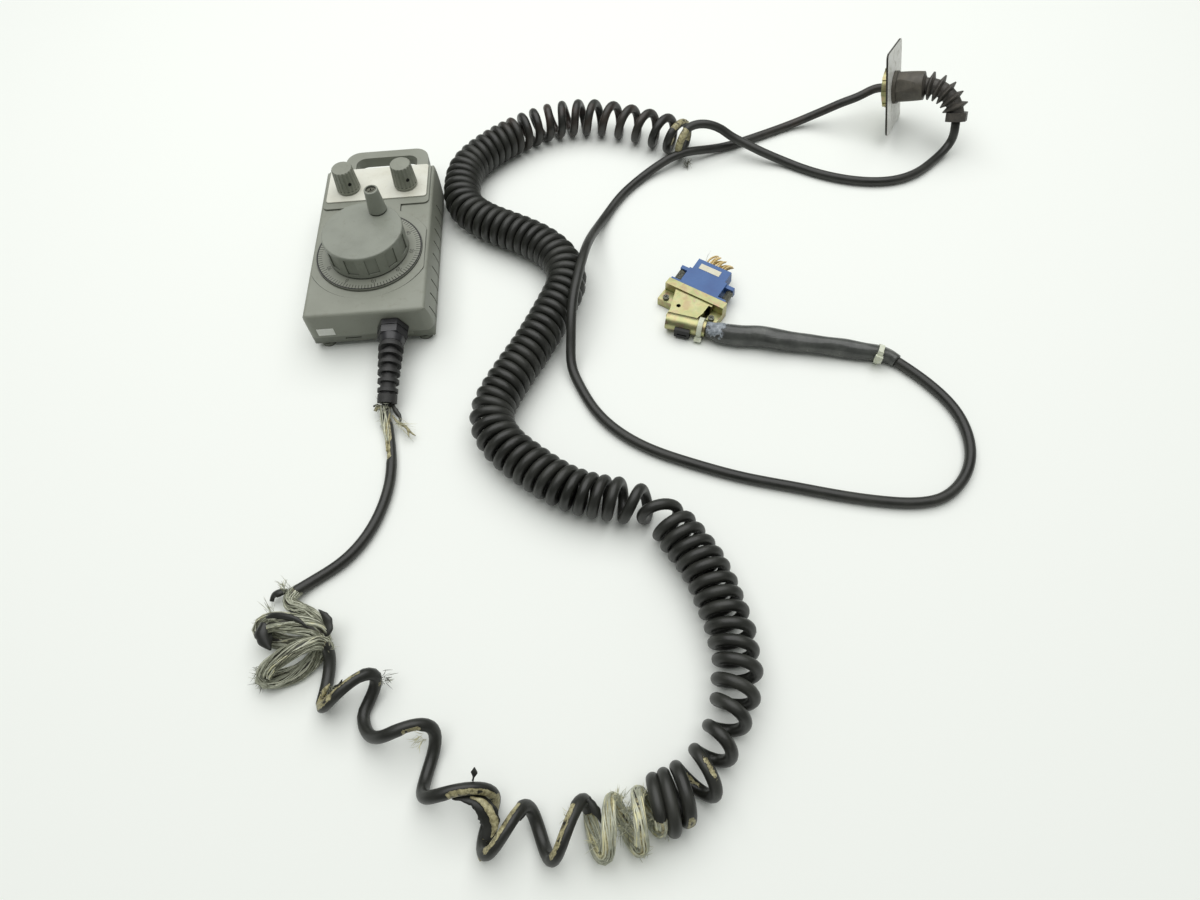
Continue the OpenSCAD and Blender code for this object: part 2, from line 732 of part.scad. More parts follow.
module code_disc() {
    slot_l = 4;
    color([0.85, 0.85, 0.86]) translate([0, dial_y, code_disc_z]) difference() {
        union() {
            cylinder(d = code_disc_d, h = code_disc_t);
            cylinder(d = code_hub_d, h = code_hub_h);
        }
        translate([0, 0, -1]) cylinder(r = shaft_d / 2 + run_fit, h = code_hub_h + 2);
        for (i = [0:code_slots - 1]) rotate([0, 0, i * 360 / code_slots])
            translate([code_disc_d / 2 - 1 - slot_l, -0.5, -1]) cube([slot_l, 1, 3]);
    }
}

module detent_wheel() {
    r = detent_d / 2;
    step = 180 / detent_count;
    rim = [for (i = [0:2 * detent_count - 1]) (r - notch_depth * (i % 2)) * [cos(i * step), sin(i * step)]];
    color([0.8, 0.7, 0.35]) translate([0, dial_y, detent_z]) difference() {
        linear_extrude(detent_t) polygon(rim);
        translate([0, 0, -1]) cylinder(r = shaft_d / 2 + run_fit, h = detent_t + 2);
    }
}

// Leaf spring that reaches from the housing wall to the detent wheel
module detent_spring() {
    wall_r = encoder_d / 2 - encoder_wall;
    nose_r = 1.2;
    nose_x = detent_d / 2 + 0.3 + nose_r;
    foot_w = 3;
    color([0.75, 0.75, 0.7]) translate([0, dial_y, detent_z]) rotate([0, 0, 180]) {
        translate([nose_x, 0, 0]) cylinder(r = nose_r, h = detent_t);
        translate([nose_x, -0.2, 0]) cube([nose_r + 0.2, 0.4, detent_t]);
        translate([nose_x + nose_r, -leaf_l, 0]) cube([0.4, leaf_l + 0.2, detent_t]);
        translate([nose_x + nose_r, -leaf_l, 0])
            cube([sqrt(wall_r * wall_r - leaf_l * leaf_l) - nose_x - nose_r - 0.1, foot_w, detent_t]);
    }
}

// Small board on the base with the optical fork round the rim of the code disc
module sensor_board() {
    top_z = encoder_foot_z + encoder_base_t;
    fork_x = code_disc_d / 2 - 4;
    fork_h = code_disc_z - top_z + code_disc_t + 3.4;
    gap_z = code_disc_z - top_z - 0.8;
    color([0.15, 0.35, 0.2]) translate([0, dial_y, top_z]) {
        translate([10, -9, 0]) cube([11, 18, 1.2]);
        translate([fork_x, -4, 1.2 - eps]) difference() {
            cube([8, 8, fork_h - 1.2]);
            translate([-1, -1, gap_z - 1.2]) cube([6, 10, code_disc_t + 1.6]);
        }
    }
}

module encoder_screws() {
    color([0.72, 0.73, 0.74]) at(encoder_screw_at()) translate([0, 0, dial_z]) rotate([180, 0, 0])
        pan_screw(screw_d, dial_t + wall + 5.5, 5.4, 1.8);
}

// Fluted tapering knob with a nut well, a blind bore and a set screw hole
module selector_knob(p) {
    base_r = knob_base_d / 2;
    top_r = knob_top_d / 2;
    bore_r = shaft_d / 2 + run_fit;
    well_h = bushing_top_z - knob_z + 0.6;
    bore_h = selector_shaft_top_z - knob_z + 0.3;
    taper = atan2(base_r - top_r, knob_h);
    profile = [[bore_r, well_h], [knob_well_d / 2, well_h], [knob_well_d / 2, 0], [base_r, 0],
        [base_r - 0.05, 1], [top_r, knob_h - 0.6], [top_r - 0.6, knob_h], [0, knob_h], [0, bore_h], [bore_r, bore_h]];
    color([0.45, 0.46, 0.41]) translate([p.x, p.y, knob_z]) difference() {
        rotate_extrude() polygon(profile);
        for (i = [0:flute_count - 1]) rotate([0, 0, i * 360 / flute_count])
            translate([base_r + flute_r * 0.35, 0, 1.6]) rotate([0, -taper, 0]) cylinder(r = flute_r, h = knob_h + 2);
        translate([0, 0, setscrew_z - knob_z]) rotate([0, 0, setscrew_dir]) rotate([0, 90, 0])
            cylinder(r = screw_r + seat_fit, h = base_r + 1);
    }
}

module knob_setscrew(p) {
    color([0.2, 0.2, 0.2]) translate([p.x, p.y, setscrew_z])
        rotate([0, 0, setscrew_dir]) set_screw(shaft_d + 2 * run_fit);
}

module selector_shaft(p) {
    color([0.76, 0.76, 0.77]) translate([p.x, p.y, under_z - switch_h + 2])
        cylinder(d = shaft_d, h = selector_shaft_top_z - under_z + switch_h - 2);
}

// Rotary switch: round body, threaded bushing and solder pins down to the board
module selector_body(p) {
    pin_l = under_z - switch_h - board_z - board_t;
    color([0.2, 0.3, 0.25]) translate([p.x, p.y, 0]) difference() {
        union() {
            translate([0, 0, under_z - switch_h]) cylinder(d = switch_d, h = switch_h);
            translate([0, 0, under_z - 1]) cylinder(d = bushing_d, h = bushing_top_z - under_z + 1);
            for (i = [0:7]) rotate([0, 0, i * 45]) translate([switch_d / 2 - 2, 0, under_z - switch_h - pin_l])
                cylinder(d = 1.2, h = pin_l + 1);
        }
        translate([0, 0, under_z - switch_h + 1.5])
            cylinder(r = shaft_d / 2 + run_fit, h = bushing_top_z);
    }
}

module bushing_nuts() {
    color([0.72, 0.72, 0.74]) at(knob_at) translate([0, 0, label_z]) difference() {
        cylinder(d = nut_af / cos(30), h = nut_t, $fn = 6);
        translate([0, 0, -1]) cylinder(r = bushing_d / 2 + seat_fit, h = nut_t + 2);
    }
}

module circuit_board() {
    color([0.1, 0.35, 0.18]) translate([0, board_y, board_z]) {
        difference() {
            translate([-board_w / 2, -board_l / 2, 0]) cube([board_w, board_l, board_t]);
            at(post_at) translate([0, -board_y, -1]) cylinder(r = screw_r - 0.5 + hole_fit, h = board_t + 2);
        }
        for (x = [-chip_pitch, 0, chip_pitch]) translate([x, chip_y, board_t - eps]) cube([8, 5, 2.2]);
    }
}

module board_screws() {
    color([0.72, 0.73, 0.74]) at(post_at) translate([0, 0, board_z])
        pan_screw(screw_d - 1, board_screw_l - 1, board_head_d - 1, board_head_h);
}

// Screw terminals under the board, one clamp chamber for each wire
module terminal_block() {
    n = 10;
    pitch = 5;
    color([0.2, 0.5, 0.35]) translate([-n * pitch / 2, board_y - 8, board_z - 7]) difference() {
        cube([n * pitch, 8, 7]);
        for (i = [0:n - 1]) translate([(i + 0.5) * pitch - 1.5, -1, 1]) cube([3, 5, 3.4]);
    }
}

// Puts +Z along the case gland's axis, pointing away from the case
module gland_axis() { translate([gland_x, y_front, gland_z]) rotate([90, 0, 0]) children(); }

module hexagon(af, h) { cylinder(d = af / cos(30), h = h, $fn = 6); }

module gland_body() {
    color([0.2, 0.2, 0.21]) gland_axis() difference() {
        union() {
            hexagon(gland_af, gland_flange_t);
            translate([0, 0, gland_flange_t - eps]) cylinder(d = gland_af - 3, h = gland_body_l - gland_flange_t);
            translate([0, 0, -wall - locknut_t - 1]) cylinder(d = gland_thread_d, h = wall + locknut_t + 2);
        }
        translate([0, 0, -over]) cylinder(r = cord_r + hole_fit, h = 2 * over);
        translate([0, 0, gland_body_l - 6]) cylinder(d = 12.4, h = over);
    }
}

module gland_seal() {
    color([0.08, 0.08, 0.08]) gland_axis() translate([0, 0, gland_body_l - 6]) difference() {
        cylinder(d = 12.4 - 2 * seat_fit, h = 7);
        translate([0, 0, -1]) cylinder(r = cord_r + run_fit, h = 9);
    }
}

module gland_nut() {
    inner_z = gland_flange_t + 0.4;
    color([0.22, 0.22, 0.23]) gland_axis() difference() {
        union() {
            translate([0, 0, inner_z]) hexagon(gland_af - 0.5, 6.4);
            translate([0, 0, inner_z + 6]) cylinder(d1 = gland_af - 0.5, d2 = 15.6, h = gland_nut_l - inner_z - 6);
        }
        translate([0, 0, inner_z - 1]) cylinder(d = gland_af - 3 + 2 * seat_fit, h = gland_body_l - inner_z + 1.4);
        translate([0, 0, inner_z - 1]) cylinder(d = 12.4, h = gland_body_l - inner_z + 2.4);
        translate([0, 0, 0]) cylinder(r = cord_r + hole_fit, h = 20);
    }
}

module gland_locknut() {
    color([0.2, 0.2, 0.21]) gland_axis() translate([0, 0, -wall - locknut_t]) difference() {
        hexagon(locknut_af, locknut_t);
        translate([0, 0, -1]) cylinder(r = gland_thread_d / 2 + seat_fit, h = locknut_t + 2);
    }
}

// Sweeps a 2D section along an arc that starts along +Z and bends to +X
module bend(r, a) {
    translate([r, 0, 0]) rotate([-90, 0, 0]) rotate([0, 0, 180])
        rotate_extrude(angle = a) translate([r, 0]) children();
}
// Stands children on that arc, a degrees from its start
module on_bend(r, a) { translate([r, 0, 0]) rotate([0, a, 0]) translate([-r, 0, 0]) children(); }

// Places children where the case's bend protector starts
module protector_place() {
    gland_axis() translate([0, 0, protector_start]) rotate([0, 0, -90 - protector_lean]) children();
}

module bend_protector() {
    collar_a = collar_l / protector_r * 180 / PI;
    step = (protector_bend - collar_a - 2) / (protector_ribs - 0.5);
    color([0.2, 0.2, 0.21]) protector_place() difference() {
        union() {
            bend(protector_r, protector_bend - 1) circle(d = protector_core_d);
            for (i = [0:protector_ribs - 1]) on_bend(protector_r, (i + 0.6) * step)
                translate([0, 0, -1.4])
                    cylinder(d = rib_first_d + (rib_last_d - rib_first_d) * i / (protector_ribs - 1), h = 2.6);
            cylinder(d = 15, h = 1.6);
            on_bend(protector_r, protector_bend) translate([0, 0, -collar_l]) cylinder(d = protector_collar_d, h = collar_l);
        }
        on_bend(protector_r, -0.5) bend(protector_r, protector_bend + 1) circle(r = cord_r + run_fit);
    }
}

// The cord's own stretch through the gland and its bend protector
module cord_inner() {
    color([0.25, 0.25, 0.26]) {
        gland_axis() translate([0, 0, -cord_in_case]) cylinder(r = cord_r, h = cord_in_case + protector_start);
        protector_place() bend(protector_r, protector_bend) circle(r = cord_r);
    }
}

// Bulkhead gland: +X is the plate's width, +Z its height, -Y the gland's side
plate_at = [437, 115.5, 37];
plate_turn = [-17, 13, 59];
plate_lean = 14;
plate_flange_t = 3;
module plate_place() { translate(plate_at) rotate(plate_turn) children(); }
module plate_axis() { plate_place() rotate([90, 0, 0]) children(); }
module plate_bend_place() {
    plate_axis() translate([0, 0, plate_t / 2 + plate_gland_l]) rotate([0, 0, -90 - plate_lean]) children();
}

module mounting_plate() {
    color([0.66, 0.67, 0.66]) plate_axis() translate([0, 0, -plate_t / 2]) difference() {
        linear_extrude(plate_t) round_rect(plate_w, plate_h, plate_r);
        translate([0, 0, -1]) cylinder(d = plate_hole_d, h = plate_t + 2);
    }
}

// Eight-sided body that narrows to its protector, with a thread through the plate
module plate_gland_body() {
    color([0.24, 0.24, 0.24]) plate_axis() difference() {
        union() {
            translate([0, 0, plate_t / 2]) cylinder(d = plate_gland_af + 3, h = plate_flange_t);
            translate([0, 0, plate_t / 2 + plate_flange_t - eps]) intersection() {
                cylinder(d = plate_gland_af / cos(22.5), h = plate_gland_l - plate_flange_t, $fn = 8);
                cylinder(d1 = plate_gland_af + 2.4, d2 = plate_gland_af - 0.6, h = plate_gland_l - plate_flange_t);
            }
            translate([0, 0, -plate_t / 2 - plate_nut_t])
                cylinder(r = plate_hole_d / 2 - hole_fit, h = plate_t + plate_nut_t + 1);
        }
        translate([0, 0, -over]) cylinder(r = cord_r + run_fit, h = plate_gland_l + 2 * over);
    }
}

module plate_gland_locknut() {
    color([0.75, 0.76, 0.55]) plate_axis() translate([0, 0, -plate_t / 2 - plate_nut_t]) difference() {
        union() {
            cylinder(d = plate_nut_d, h = plate_nut_t);
            for (a = [0:45:315]) rotate([0, 0, a]) translate([plate_nut_d / 2 - 0.6, -1.5, 0]) cube([1.6, 3, plate_nut_t]);
        }
        translate([0, 0, -1]) cylinder(r = plate_hole_d / 2 - hole_fit + seat_fit, h = plate_nut_t + 2);
    }
}

// Bellows of tapered fins round a bent core, with a square-shouldered end
module plate_bend_protector() {
    fin_d = 22;
    core_d = 12.5;
    end_l = 7;
    step = (plate_bend - 8) / (plate_fins + 0.8);
    color([0.22, 0.22, 0.22]) plate_bend_place() difference() {
        union() {
            bend(plate_bend_r, plate_bend - 1) circle(d = core_d);
            for (i = [0:plate_fins - 1]) on_bend(plate_bend_r, (i + 0.75) * step) translate([0, 0, -2.4]) {
                cylinder(d1 = core_d - 0.5, d2 = fin_d - i * 0.4, h = 2.2);
                translate([0, 0, 2.2]) cylinder(d = fin_d - i * 0.4, h = 0.9);
                translate([0, 0, 3.1]) cylinder(d1 = fin_d - i * 0.4, d2 = core_d - 0.5, h = 1.7);
            }
            cylinder(d1 = plate_gland_af - 3, d2 = core_d - 1, h = 2.4);
            on_bend(plate_bend_r, plate_bend) translate([0, 0, -end_l]) intersection() {
                cylinder(d = 18.5, h = end_l);
                translate([-8, -8, 0]) cube([16, 16, end_l]);
            }
        }
        on_bend(plate_bend_r, -1) bend(plate_bend_r, plate_bend + 2) circle(r = cord_r + run_fit);
    }
}

// The cord's own stretch through the bulkhead gland
module cord_through() {
    straight = plate_t + plate_nut_t + plate_gland_l;
    color([0.25, 0.25, 0.26]) plate_bend_place() {
        translate([0, 0, -straight]) cylinder(r = cord_r, h = straight);
        bend(plate_bend_r, plate_bend) circle(r = cord_r);
    }
}

// Plug: +X along its flange, +Y towards its wires
plug_at = [246.1, -78.35, 0];
plug_turn = -37.7;
plug_lift = 0.8;
flange_t = 2;
ear_w = 5.6;
ear_t = 3;
jack_af = 5;
jack_x = plug_w / 2 - jack_af / 2 - 0.3;
module plug_place() { translate(plug_at) rotate([0, 0, plug_turn]) children(); }
// The block has come out of square in the hood's mouth: its wire end stands higher
block_tilt = 8;
block_shift = -0.8;
module block_place() {
    top_z = plug_lift + plug_h;
    plug_place() translate([block_shift, 0, top_z]) rotate([block_tilt, 0, 0]) translate([0, 0, -top_z]) children();
}

module connector_block() {
    mid_z = plug_lift + plug_h / 2;
    tail_end = plug_body_l + plug_tail_l;
    color([0.27, 0.41, 0.65]) block_place() difference() {
        union() {
            translate([-plug_w / 2, 0, plug_lift]) cube([plug_w, flange_t, plug_h]);
            translate([-plug_body_w / 2, 0, plug_lift + 0.8]) cube([plug_body_w, plug_body_l, plug_h - 1.6]);
            translate([0.5 - plug_w / 2, plug_body_l - ear_t, mid_z - 4]) cube([plug_w - 1, ear_t, 8]);
            translate([-plug_tail_w / 2, plug_body_l - 1, plug_lift + 1.2]) cube([plug_tail_w, plug_tail_l + 1, plug_h - 2.4]);
        }
        for (i = [0:wire_count - 1]) plug_wire_place(i) cylinder(r = wire_d / 2 + run_fit, h = 20, center = true);
        for (sx = [-1, 1]) translate([sx * jack_x, -1, mid_z]) rotate([-90, 0, 0])
            cylinder(d = screw_d + 2 * hole_fit, h = tail_end);
    }
}

// Wires stand in two rows in the plug's wire end and fan out
module plug_wire_place(i) {
    span = plug_tail_w - 8;
    row = i % 2;
    translate([-plug_tail_w / 2 + 3 + span * i / (wire_count - 1), plug_body_l + plug_tail_l - 5, plug_lift + 4.6 + 3.6 * row])
        rotate([-90 + 4 * row, 0, 10 - 18 * i / (wire_count - 1)]) children();
}

module wire_stubs() {
    color([0.78, 0.67, 0.4]) block_place() for (i = [0:wire_count - 1]) plug_wire_place(i)
        cylinder(r = wire_d / 2, h = 14 + 2 * (i % 3));
}

module jack_screws() {
    color([0.8, 0.81, 0.82]) block_place() for (sx = [-1, 1])
        translate([sx * jack_x, flange_t, plug_lift + plug_h / 2]) rotate([-90, 0, 0]) {
            rotate(30) hexagon(jack_af, plug_body_l - ear_t - flange_t);
            cylinder(d = screw_d, h = plug_body_l - flange_t + 0.6);
        }
}

// Barrel frame: +Z along the barrel, from its closed end to its mouth
barrel_at = [-7.1, -33, 8];
barrel_turn = 15.5;
module barrel_place() {
    plug_place() translate(barrel_at) rotate([0, 0, barrel_turn]) rotate([0, 90, 0]) children();
}

// Pressed sheet hood: wide band, middle that narrows to the barrel, and two low ears
hood_ear_l = 17.5;
module hood_form(inset, reach) {
    z0 = 0.4 + inset;
    fold = -hood_band_l - hood_mid_l;
    middle = [[-15.5, -0.5], [17, -0.5], [17, -hood_band_l], [13.4, fold + 5.6], [12.8, fold + 0.6],
        [-8.2, fold - 6], [-8.6, fold], [-15.5, -hood_band_l]];
    translate([-hood_w / 2 + inset, -hood_band_l + inset, z0])
        cube([hood_w - 2 * inset, hood_band_l - inset + reach, 14 - 2 * inset]);
    translate([0, 0, z0]) linear_extrude(12.8 - 2 * inset) offset(delta = -inset) polygon(middle);
    translate([-hood_w / 2 + inset, -hood_ear_l + inset, z0])
        cube([hood_w - 2 * inset, hood_ear_l - 2, 7 - 2 * inset]);
}

module connector_hood() {
    color([0.8, 0.79, 0.55]) difference() {
        union() {
            plug_place() hood_form(0, 0);
            barrel_place() cylinder(d = barrel_d, h = barrel_l);
        }
        plug_place() hood_form(hood_t, 1);
        barrel_place() translate([0, 0, hood_t]) cylinder(d = barrel_d - 2 * hood_t, h = barrel_l);
        plug_place() translate([-4.9, -20.3, 8]) cylinder(d = 3.4, h = 10);
        plug_place() translate([14.2, 0.5 - hood_ear_l, 5]) cube([2.6, 8.5, 12]);
        hood_screw_place() translate([0, 0, -4]) cylinder(r = screw_r - 0.5 + run_fit, h = 8);
    }
}

module hood_screw_place() { plug_place() at([[-19.5, -14.2], [20, -14.2]]) translate([0, 0, 7.4]) children(); }

module hood_screws() {
    color([0.75, 0.75, 0.75]) hood_screw_place() rotate([180, 0, 0])
        pan_screw(screw_d - 1, 3, 4.6, 1.6);
}

module cord_clamp() {
    color([0.3, 0.3, 0.31]) barrel_place() difference() {
        translate([-2, -barrel_d / 2 - 2.4, 8]) cube([7.6, 4, 11.5]);
        translate([0, 0, 5]) cylinder(r = barrel_d / 2 + 0.02, h = 16);
        translate([2, -barrel_d / 2 - 3, 10]) cube([1.2, 1.6, 7.5]);
    }
}

// Cord routes: where it lies free, and the axis of its curly stretch
curl_z = 15.6;
lead_route = [[15.1, -158.7, 9.6], [14.6, -164, 7], [15.5, -174, 4.4], [18, -188, 3.7], [20.5, -212, 3.7],
    [17, -238, 3.7], [8, -260, 3.7], [-6, -277, 3.7], [-22, -288, 3.8], [-33, -296, 6]];
curl_axis = [[-34, -297], [-22, -322], [-2, -349], [24, -374], [54, -398], [80, -421], [104, -438], [133, -444],
    [163, -441], [186, -432], [205, -418], [222, -395], [231, -366], [229, -331], [218, -299], [203, -272],
    [186, -257], [166, -251], [140, -241], [116, -222], [97, -201], [91, -182], [97, -162], [118, -125],
    [140, -81], [147, -60], [144, -40], [131, -21], [103, 0], [78, 18], [66, 35], [63.4, 56], [67, 78], [78, 94],
    [93, 108], [115, 123], [148, 136], [176, 136], [211, 124], [245, 104], [257, 95]];
curl_breaks = [0, 5, 10, 16, 22, 30, len(curl_axis) - 1];
tail_a_route = [[256, 98, 26], [268, 99.5, 26.5], [281, 99, 23], [293, 95, 17.5], [307, 88.5, 13], [321, 80, 9.5],
    [336, 73, 5.5], [356, 60, 3.7], [379, 47, 3.7], [402, 39.5, 3.7], [424, 38, 3.7], [446, 44.5, 3.7],
    [466, 59, 4], [476, 67, 6.5], [482, 72, 12.5], [482.6, 73.6, 20], [482.4, 77.2, 27.4]];
tail_b_route = [[431.2, 118.5, 35.1], [425, 121.5, 33], [412, 121, 27.5], [398, 120.5, 22.5], [385, 121.5, 16],
    [372, 122.5, 9.5], [357, 120.5, 5], [338, 114, 3.7], [312, 104, 3.7], [290, 95.5, 3.9], [270, 85.5, 6.5],
    [250, 76, 6], [230, 68.5, 3.9], [210, 55, 3.7], [195, 39.5, 3.7], [184, 24, 4.2], [175, 4, 9], [167.5, -20, 19],
    [161, -50, 29.5], [156, -72, 31], [152, -90, 29], [149.5, -106, 24], [148, -120, 15.5], [147.5, -136, 7],
    [152, -151, 3.9], [164, -177, 3.7], [181, -197, 3.7], [202, -212, 3.7], [224, -223, 3.7], [256, -236.5, 3.7],
    [289, -247, 3.7], [320, -256.5, 3.7], [345, -262.5, 3.7], [365, -265, 3.7], [382, -262.5, 3.7],
    [397, -252, 3.7], [407, -237, 3.7], [411.5, -216, 3.7], [409, -196, 3.7], [400, -177, 3.8], [390, -163, 4],
    [380, -152, 4.8]];
sleeve_route = [[379.8, -151.8, 4.8], [377.8, -149.6, 5], [366, -144, 6.3], [345, -138.5, 7.2], [318, -131.5, 7.6],
    [290, -124, 8.4], [268, -118, 8.4], [257, -115.2, 8.4], [252.3, -113.2, 8.2], [248.35, -111.6, 8]];
sleeve_r = [4.7, 4.9, 6.1, 6.7, 7.2, 8, 8, 7.4, 6.2, 5.6];
tie_at = [368.5, -145.2, 6];

function unit(v) = v / norm(v);
function heading(p, i) = unit(p[min(i + 1, len(p) - 1)] - p[max(i - 1, 0)]);

// One closed tube along a route, or along its points from first to last;
// r is its radius, or a list with one for each point
module sweep(p, r, sides, first = 0, last = -1) {
    stop = last < 0 ? len(p) - 1 : last;
    n = stop - first + 1;
    rings = [for (i = [first:stop])
        let (t = heading(p, i), side = unit(cross(t, [0, 0, 1])), up = cross(side, t), ri = is_list(r) ? r[i] : r)
        for (k = [0:sides - 1]) p[i] + ri * (cos(360 * k / sides) * side + sin(360 * k / sides) * up)];
    walls = [for (i = [0:n - 2], k = [0:sides - 1])
        let (a = i * sides + k, b = i * sides + (k + 1) % sides)
        [a, b, b + sides, a + sides]];
    ends = [[for (k = [sides - 1:-1:0]) k], [for (k = [0:sides - 1]) (n - 1) * sides + k]];
    polyhedron(points = rings, faces = concat(walls, ends));
}

module cord_lead() { color([0.25, 0.25, 0.26]) sweep(lead_route, cord_r, 10); }
module cord_curl(i) {
    axis = [for (p = curl_axis) [p.x, p.y, curl_z]];
    color([0.22, 0.22, 0.23]) sweep(axis, curl_d / 2, 12, curl_breaks[i], curl_breaks[i + 1]);
}
module cord_tail_a() { color([0.25, 0.25, 0.26]) sweep(tail_a_route, cord_r, 10); }
module cord_tail_b() { color([0.25, 0.25, 0.26]) sweep(tail_b_route, cord_r, 10); }
module cable_sleeve() { color([0.2, 0.2, 0.2]) sweep(sleeve_route, sleeve_r, 12); }

// Strap round a cord of radius r, with its lock and a cut tail
module tie(r) {
    difference() {
        cylinder(r = r + 1.1, h = 3.6, center = true);
        cylinder(r = r, h = 5, center = true);
    }
    translate([r + 0.8, -2.4, -2.6]) cube([3.6, 4.8, 5.2]);
    translate([r + 1.6, 2, -1.8]) cube([1.1, 4, 3.6]);
}

module cable_ties() {
    color([0.84, 0.86, 0.77]) {
        translate(tie_at) rotate([0, 84.3, 154.6]) rotate([0, 0, 115]) tie(6.06);
        barrel_place() translate([0, 0, barrel_l - 4]) rotate([0, 0, -50]) tie(barrel_d / 2 + 0.02);
    }
}

front_case();
rear_cover();
case_gasket();
cover_screws();
label_plate();
end_sticker();
dial_plate();
handwheel();
wheel_setscrew();
crank_grip();
crank_pin();
encoder_housing();
encoder_base();
encoder_bearings();
encoder_shaft();
code_disc();
detent_wheel();
detent_spring();
sensor_board();
encoder_screws();
selector_knob(knob_at[0]);  // selector_knob_left
selector_knob(knob_at[1]);  // selector_knob_right
knob_setscrew(knob_at[0]);  // knob_setscrew_left
knob_setscrew(knob_at[1]);  // knob_setscrew_right
selector_shaft(knob_at[0]);  // selector_shaft_left
selector_shaft(knob_at[1]);  // selector_shaft_right
selector_body(knob_at[0]);  // selector_body_left
selector_body(knob_at[1]);  // selector_body_right
bushing_nuts();
circuit_board();
board_screws();
terminal_block();
gland_body();
gland_seal();
gland_nut();
gland_locknut();
bend_protector();
cord_inner();
cord_lead();
cord_curl(0);  // cord_curl_1
cord_curl(1);  // cord_curl_2
cord_curl(2);  // cord_curl_3
cord_curl(3);  // cord_curl_4
cord_curl(4);  // cord_curl_5
cord_curl(5);  // cord_curl_6
cord_tail_a();
cord_tail_b();
cable_sleeve();
mounting_plate();
plate_gland_body();
plate_gland_locknut();
plate_bend_protector();
cord_through();
connector_block();
wire_stubs();
jack_screws();
connector_hood();
hood_screws();
cord_clamp();
cable_ties();
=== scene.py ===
# Hand-held pulse generator pendant: case with handwheel and two selector knobs,
# its torn curly lead, the bulkhead gland on its plate, and the plug on the far end.
import math

import bpy
import numpy as np
from mathutils import Matrix, Vector


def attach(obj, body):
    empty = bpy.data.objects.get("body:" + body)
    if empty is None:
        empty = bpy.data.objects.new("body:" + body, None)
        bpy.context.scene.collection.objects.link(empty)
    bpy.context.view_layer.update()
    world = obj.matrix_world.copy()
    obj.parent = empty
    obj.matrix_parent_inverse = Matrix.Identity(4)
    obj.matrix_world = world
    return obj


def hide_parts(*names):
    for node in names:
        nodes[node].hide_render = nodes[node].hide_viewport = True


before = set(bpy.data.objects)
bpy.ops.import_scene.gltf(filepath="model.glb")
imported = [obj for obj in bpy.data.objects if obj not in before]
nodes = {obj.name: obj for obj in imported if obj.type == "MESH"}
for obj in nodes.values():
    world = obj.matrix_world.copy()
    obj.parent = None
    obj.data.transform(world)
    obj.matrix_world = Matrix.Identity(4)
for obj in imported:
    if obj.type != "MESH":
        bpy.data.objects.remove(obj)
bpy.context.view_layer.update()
mm = 0.001
perMm = 1 / mm   # divided by a size in mm it is the scale of a noise on coordinates in metres
rng = np.random.default_rng(7)
print("frame loaded:", len(nodes), "nodes")


def linear(hexText):
    # sRGB hex to linear: c / 12.92 below 0.04045, else ((c + 0.055) / 1.055) ** 2.4
    c = [int(hexText[i : i + 2], 16) / 255 for i in (1, 3, 5)]
    return tuple(v / 12.92 if v <= 0.04045 else ((v + 0.055) / 1.055) ** 2.4 for v in c) + (1.0,)


def addNode(tree, kind, inputs=(), out=0, stops=(), **settings):
    # One node: settings and ramp stops, then inputs by place or name, each a number, a hex colour or a link
    node = tree.nodes.new("ShaderNode" + kind)
    for key, value in settings.items():
        setattr(node, key, value)
    for k, (spot, shade) in enumerate(stops):
        stop = node.color_ramp.elements[k] if k < 2 else node.color_ramp.elements.new(spot)
        stop.position, stop.color = spot, linear(shade)
    for key, value in inputs.items() if isinstance(inputs, dict) else enumerate(inputs):
        if isinstance(value, bpy.types.NodeSocket):
            tree.links.new(value, node.inputs[key])
        else:
            node.inputs[key].default_value = linear(value) if isinstance(value, str) else value
    return node.outputs[out]


def newMaterial(name):
    # A fresh material with its tree and its shader
    material = bpy.data.materials.new(name)
    material.use_nodes = True
    return material, material.node_tree, material.node_tree.nodes["Principled BSDF"]


def unit(v):
    # Each vector over its own length
    return v / np.maximum(np.linalg.norm(v, axis=-1, keepdims=True), 1e-12)


def runAlong(line):
    # Distance from the start, at each point of a line
    return np.r_[0, np.cumsum(np.linalg.norm(np.diff(line, axis=0), axis=1))]


def splineAt(t, p, at):
    # Natural cubic spline: second derivatives from the three-term system, then the cubic on each span
    t, p, at = np.array(t, float), np.array(p, float), np.array(at, float)
    if p.ndim == 1:
        return splineAt(t, p[:, None], at)[:, 0]
    n, h, slope = len(t), np.diff(t), np.diff(p, axis=0) / np.diff(t)[:, None]
    a, b, k = np.eye(n), np.zeros_like(p), np.arange(1, n - 1)
    a[k, k - 1], a[k, k], a[k, k + 1] = h[:-1], 2 * (h[:-1] + h[1:]), h[1:]
    b[1:-1] = 6 * np.diff(slope, axis=0)
    m = np.linalg.solve(a, b)
    i = np.clip(np.searchsorted(t, at, "right") - 1, 0, n - 2)
    u, w, hi = (at - t[i])[:, None], (t[i + 1] - at)[:, None], h[i][:, None]
    curved = (m[i] * w**3 + m[i + 1] * u**3) / (6 * hi)
    return curved + (p[i] / hi - m[i] * hi / 6) * w + (p[i + 1] / hi - m[i + 1] * hi / 6) * u


def smoothLine(points, step):
    # The spline through the points over their chord length, sampled about every step
    p = np.array(points, float)
    t = runAlong(p)
    return splineAt(t, p, np.linspace(0, t[-1], max(2, round(t[-1] / step) + 1)))


def wander(count, n, knots):
    # Smooth random values: a spline through a few random ones, for each of count strands
    at = np.linspace(0, knots - 1, n)
    return splineAt(np.arange(knots), rng.normal(0, 1, (knots, count)), at).T


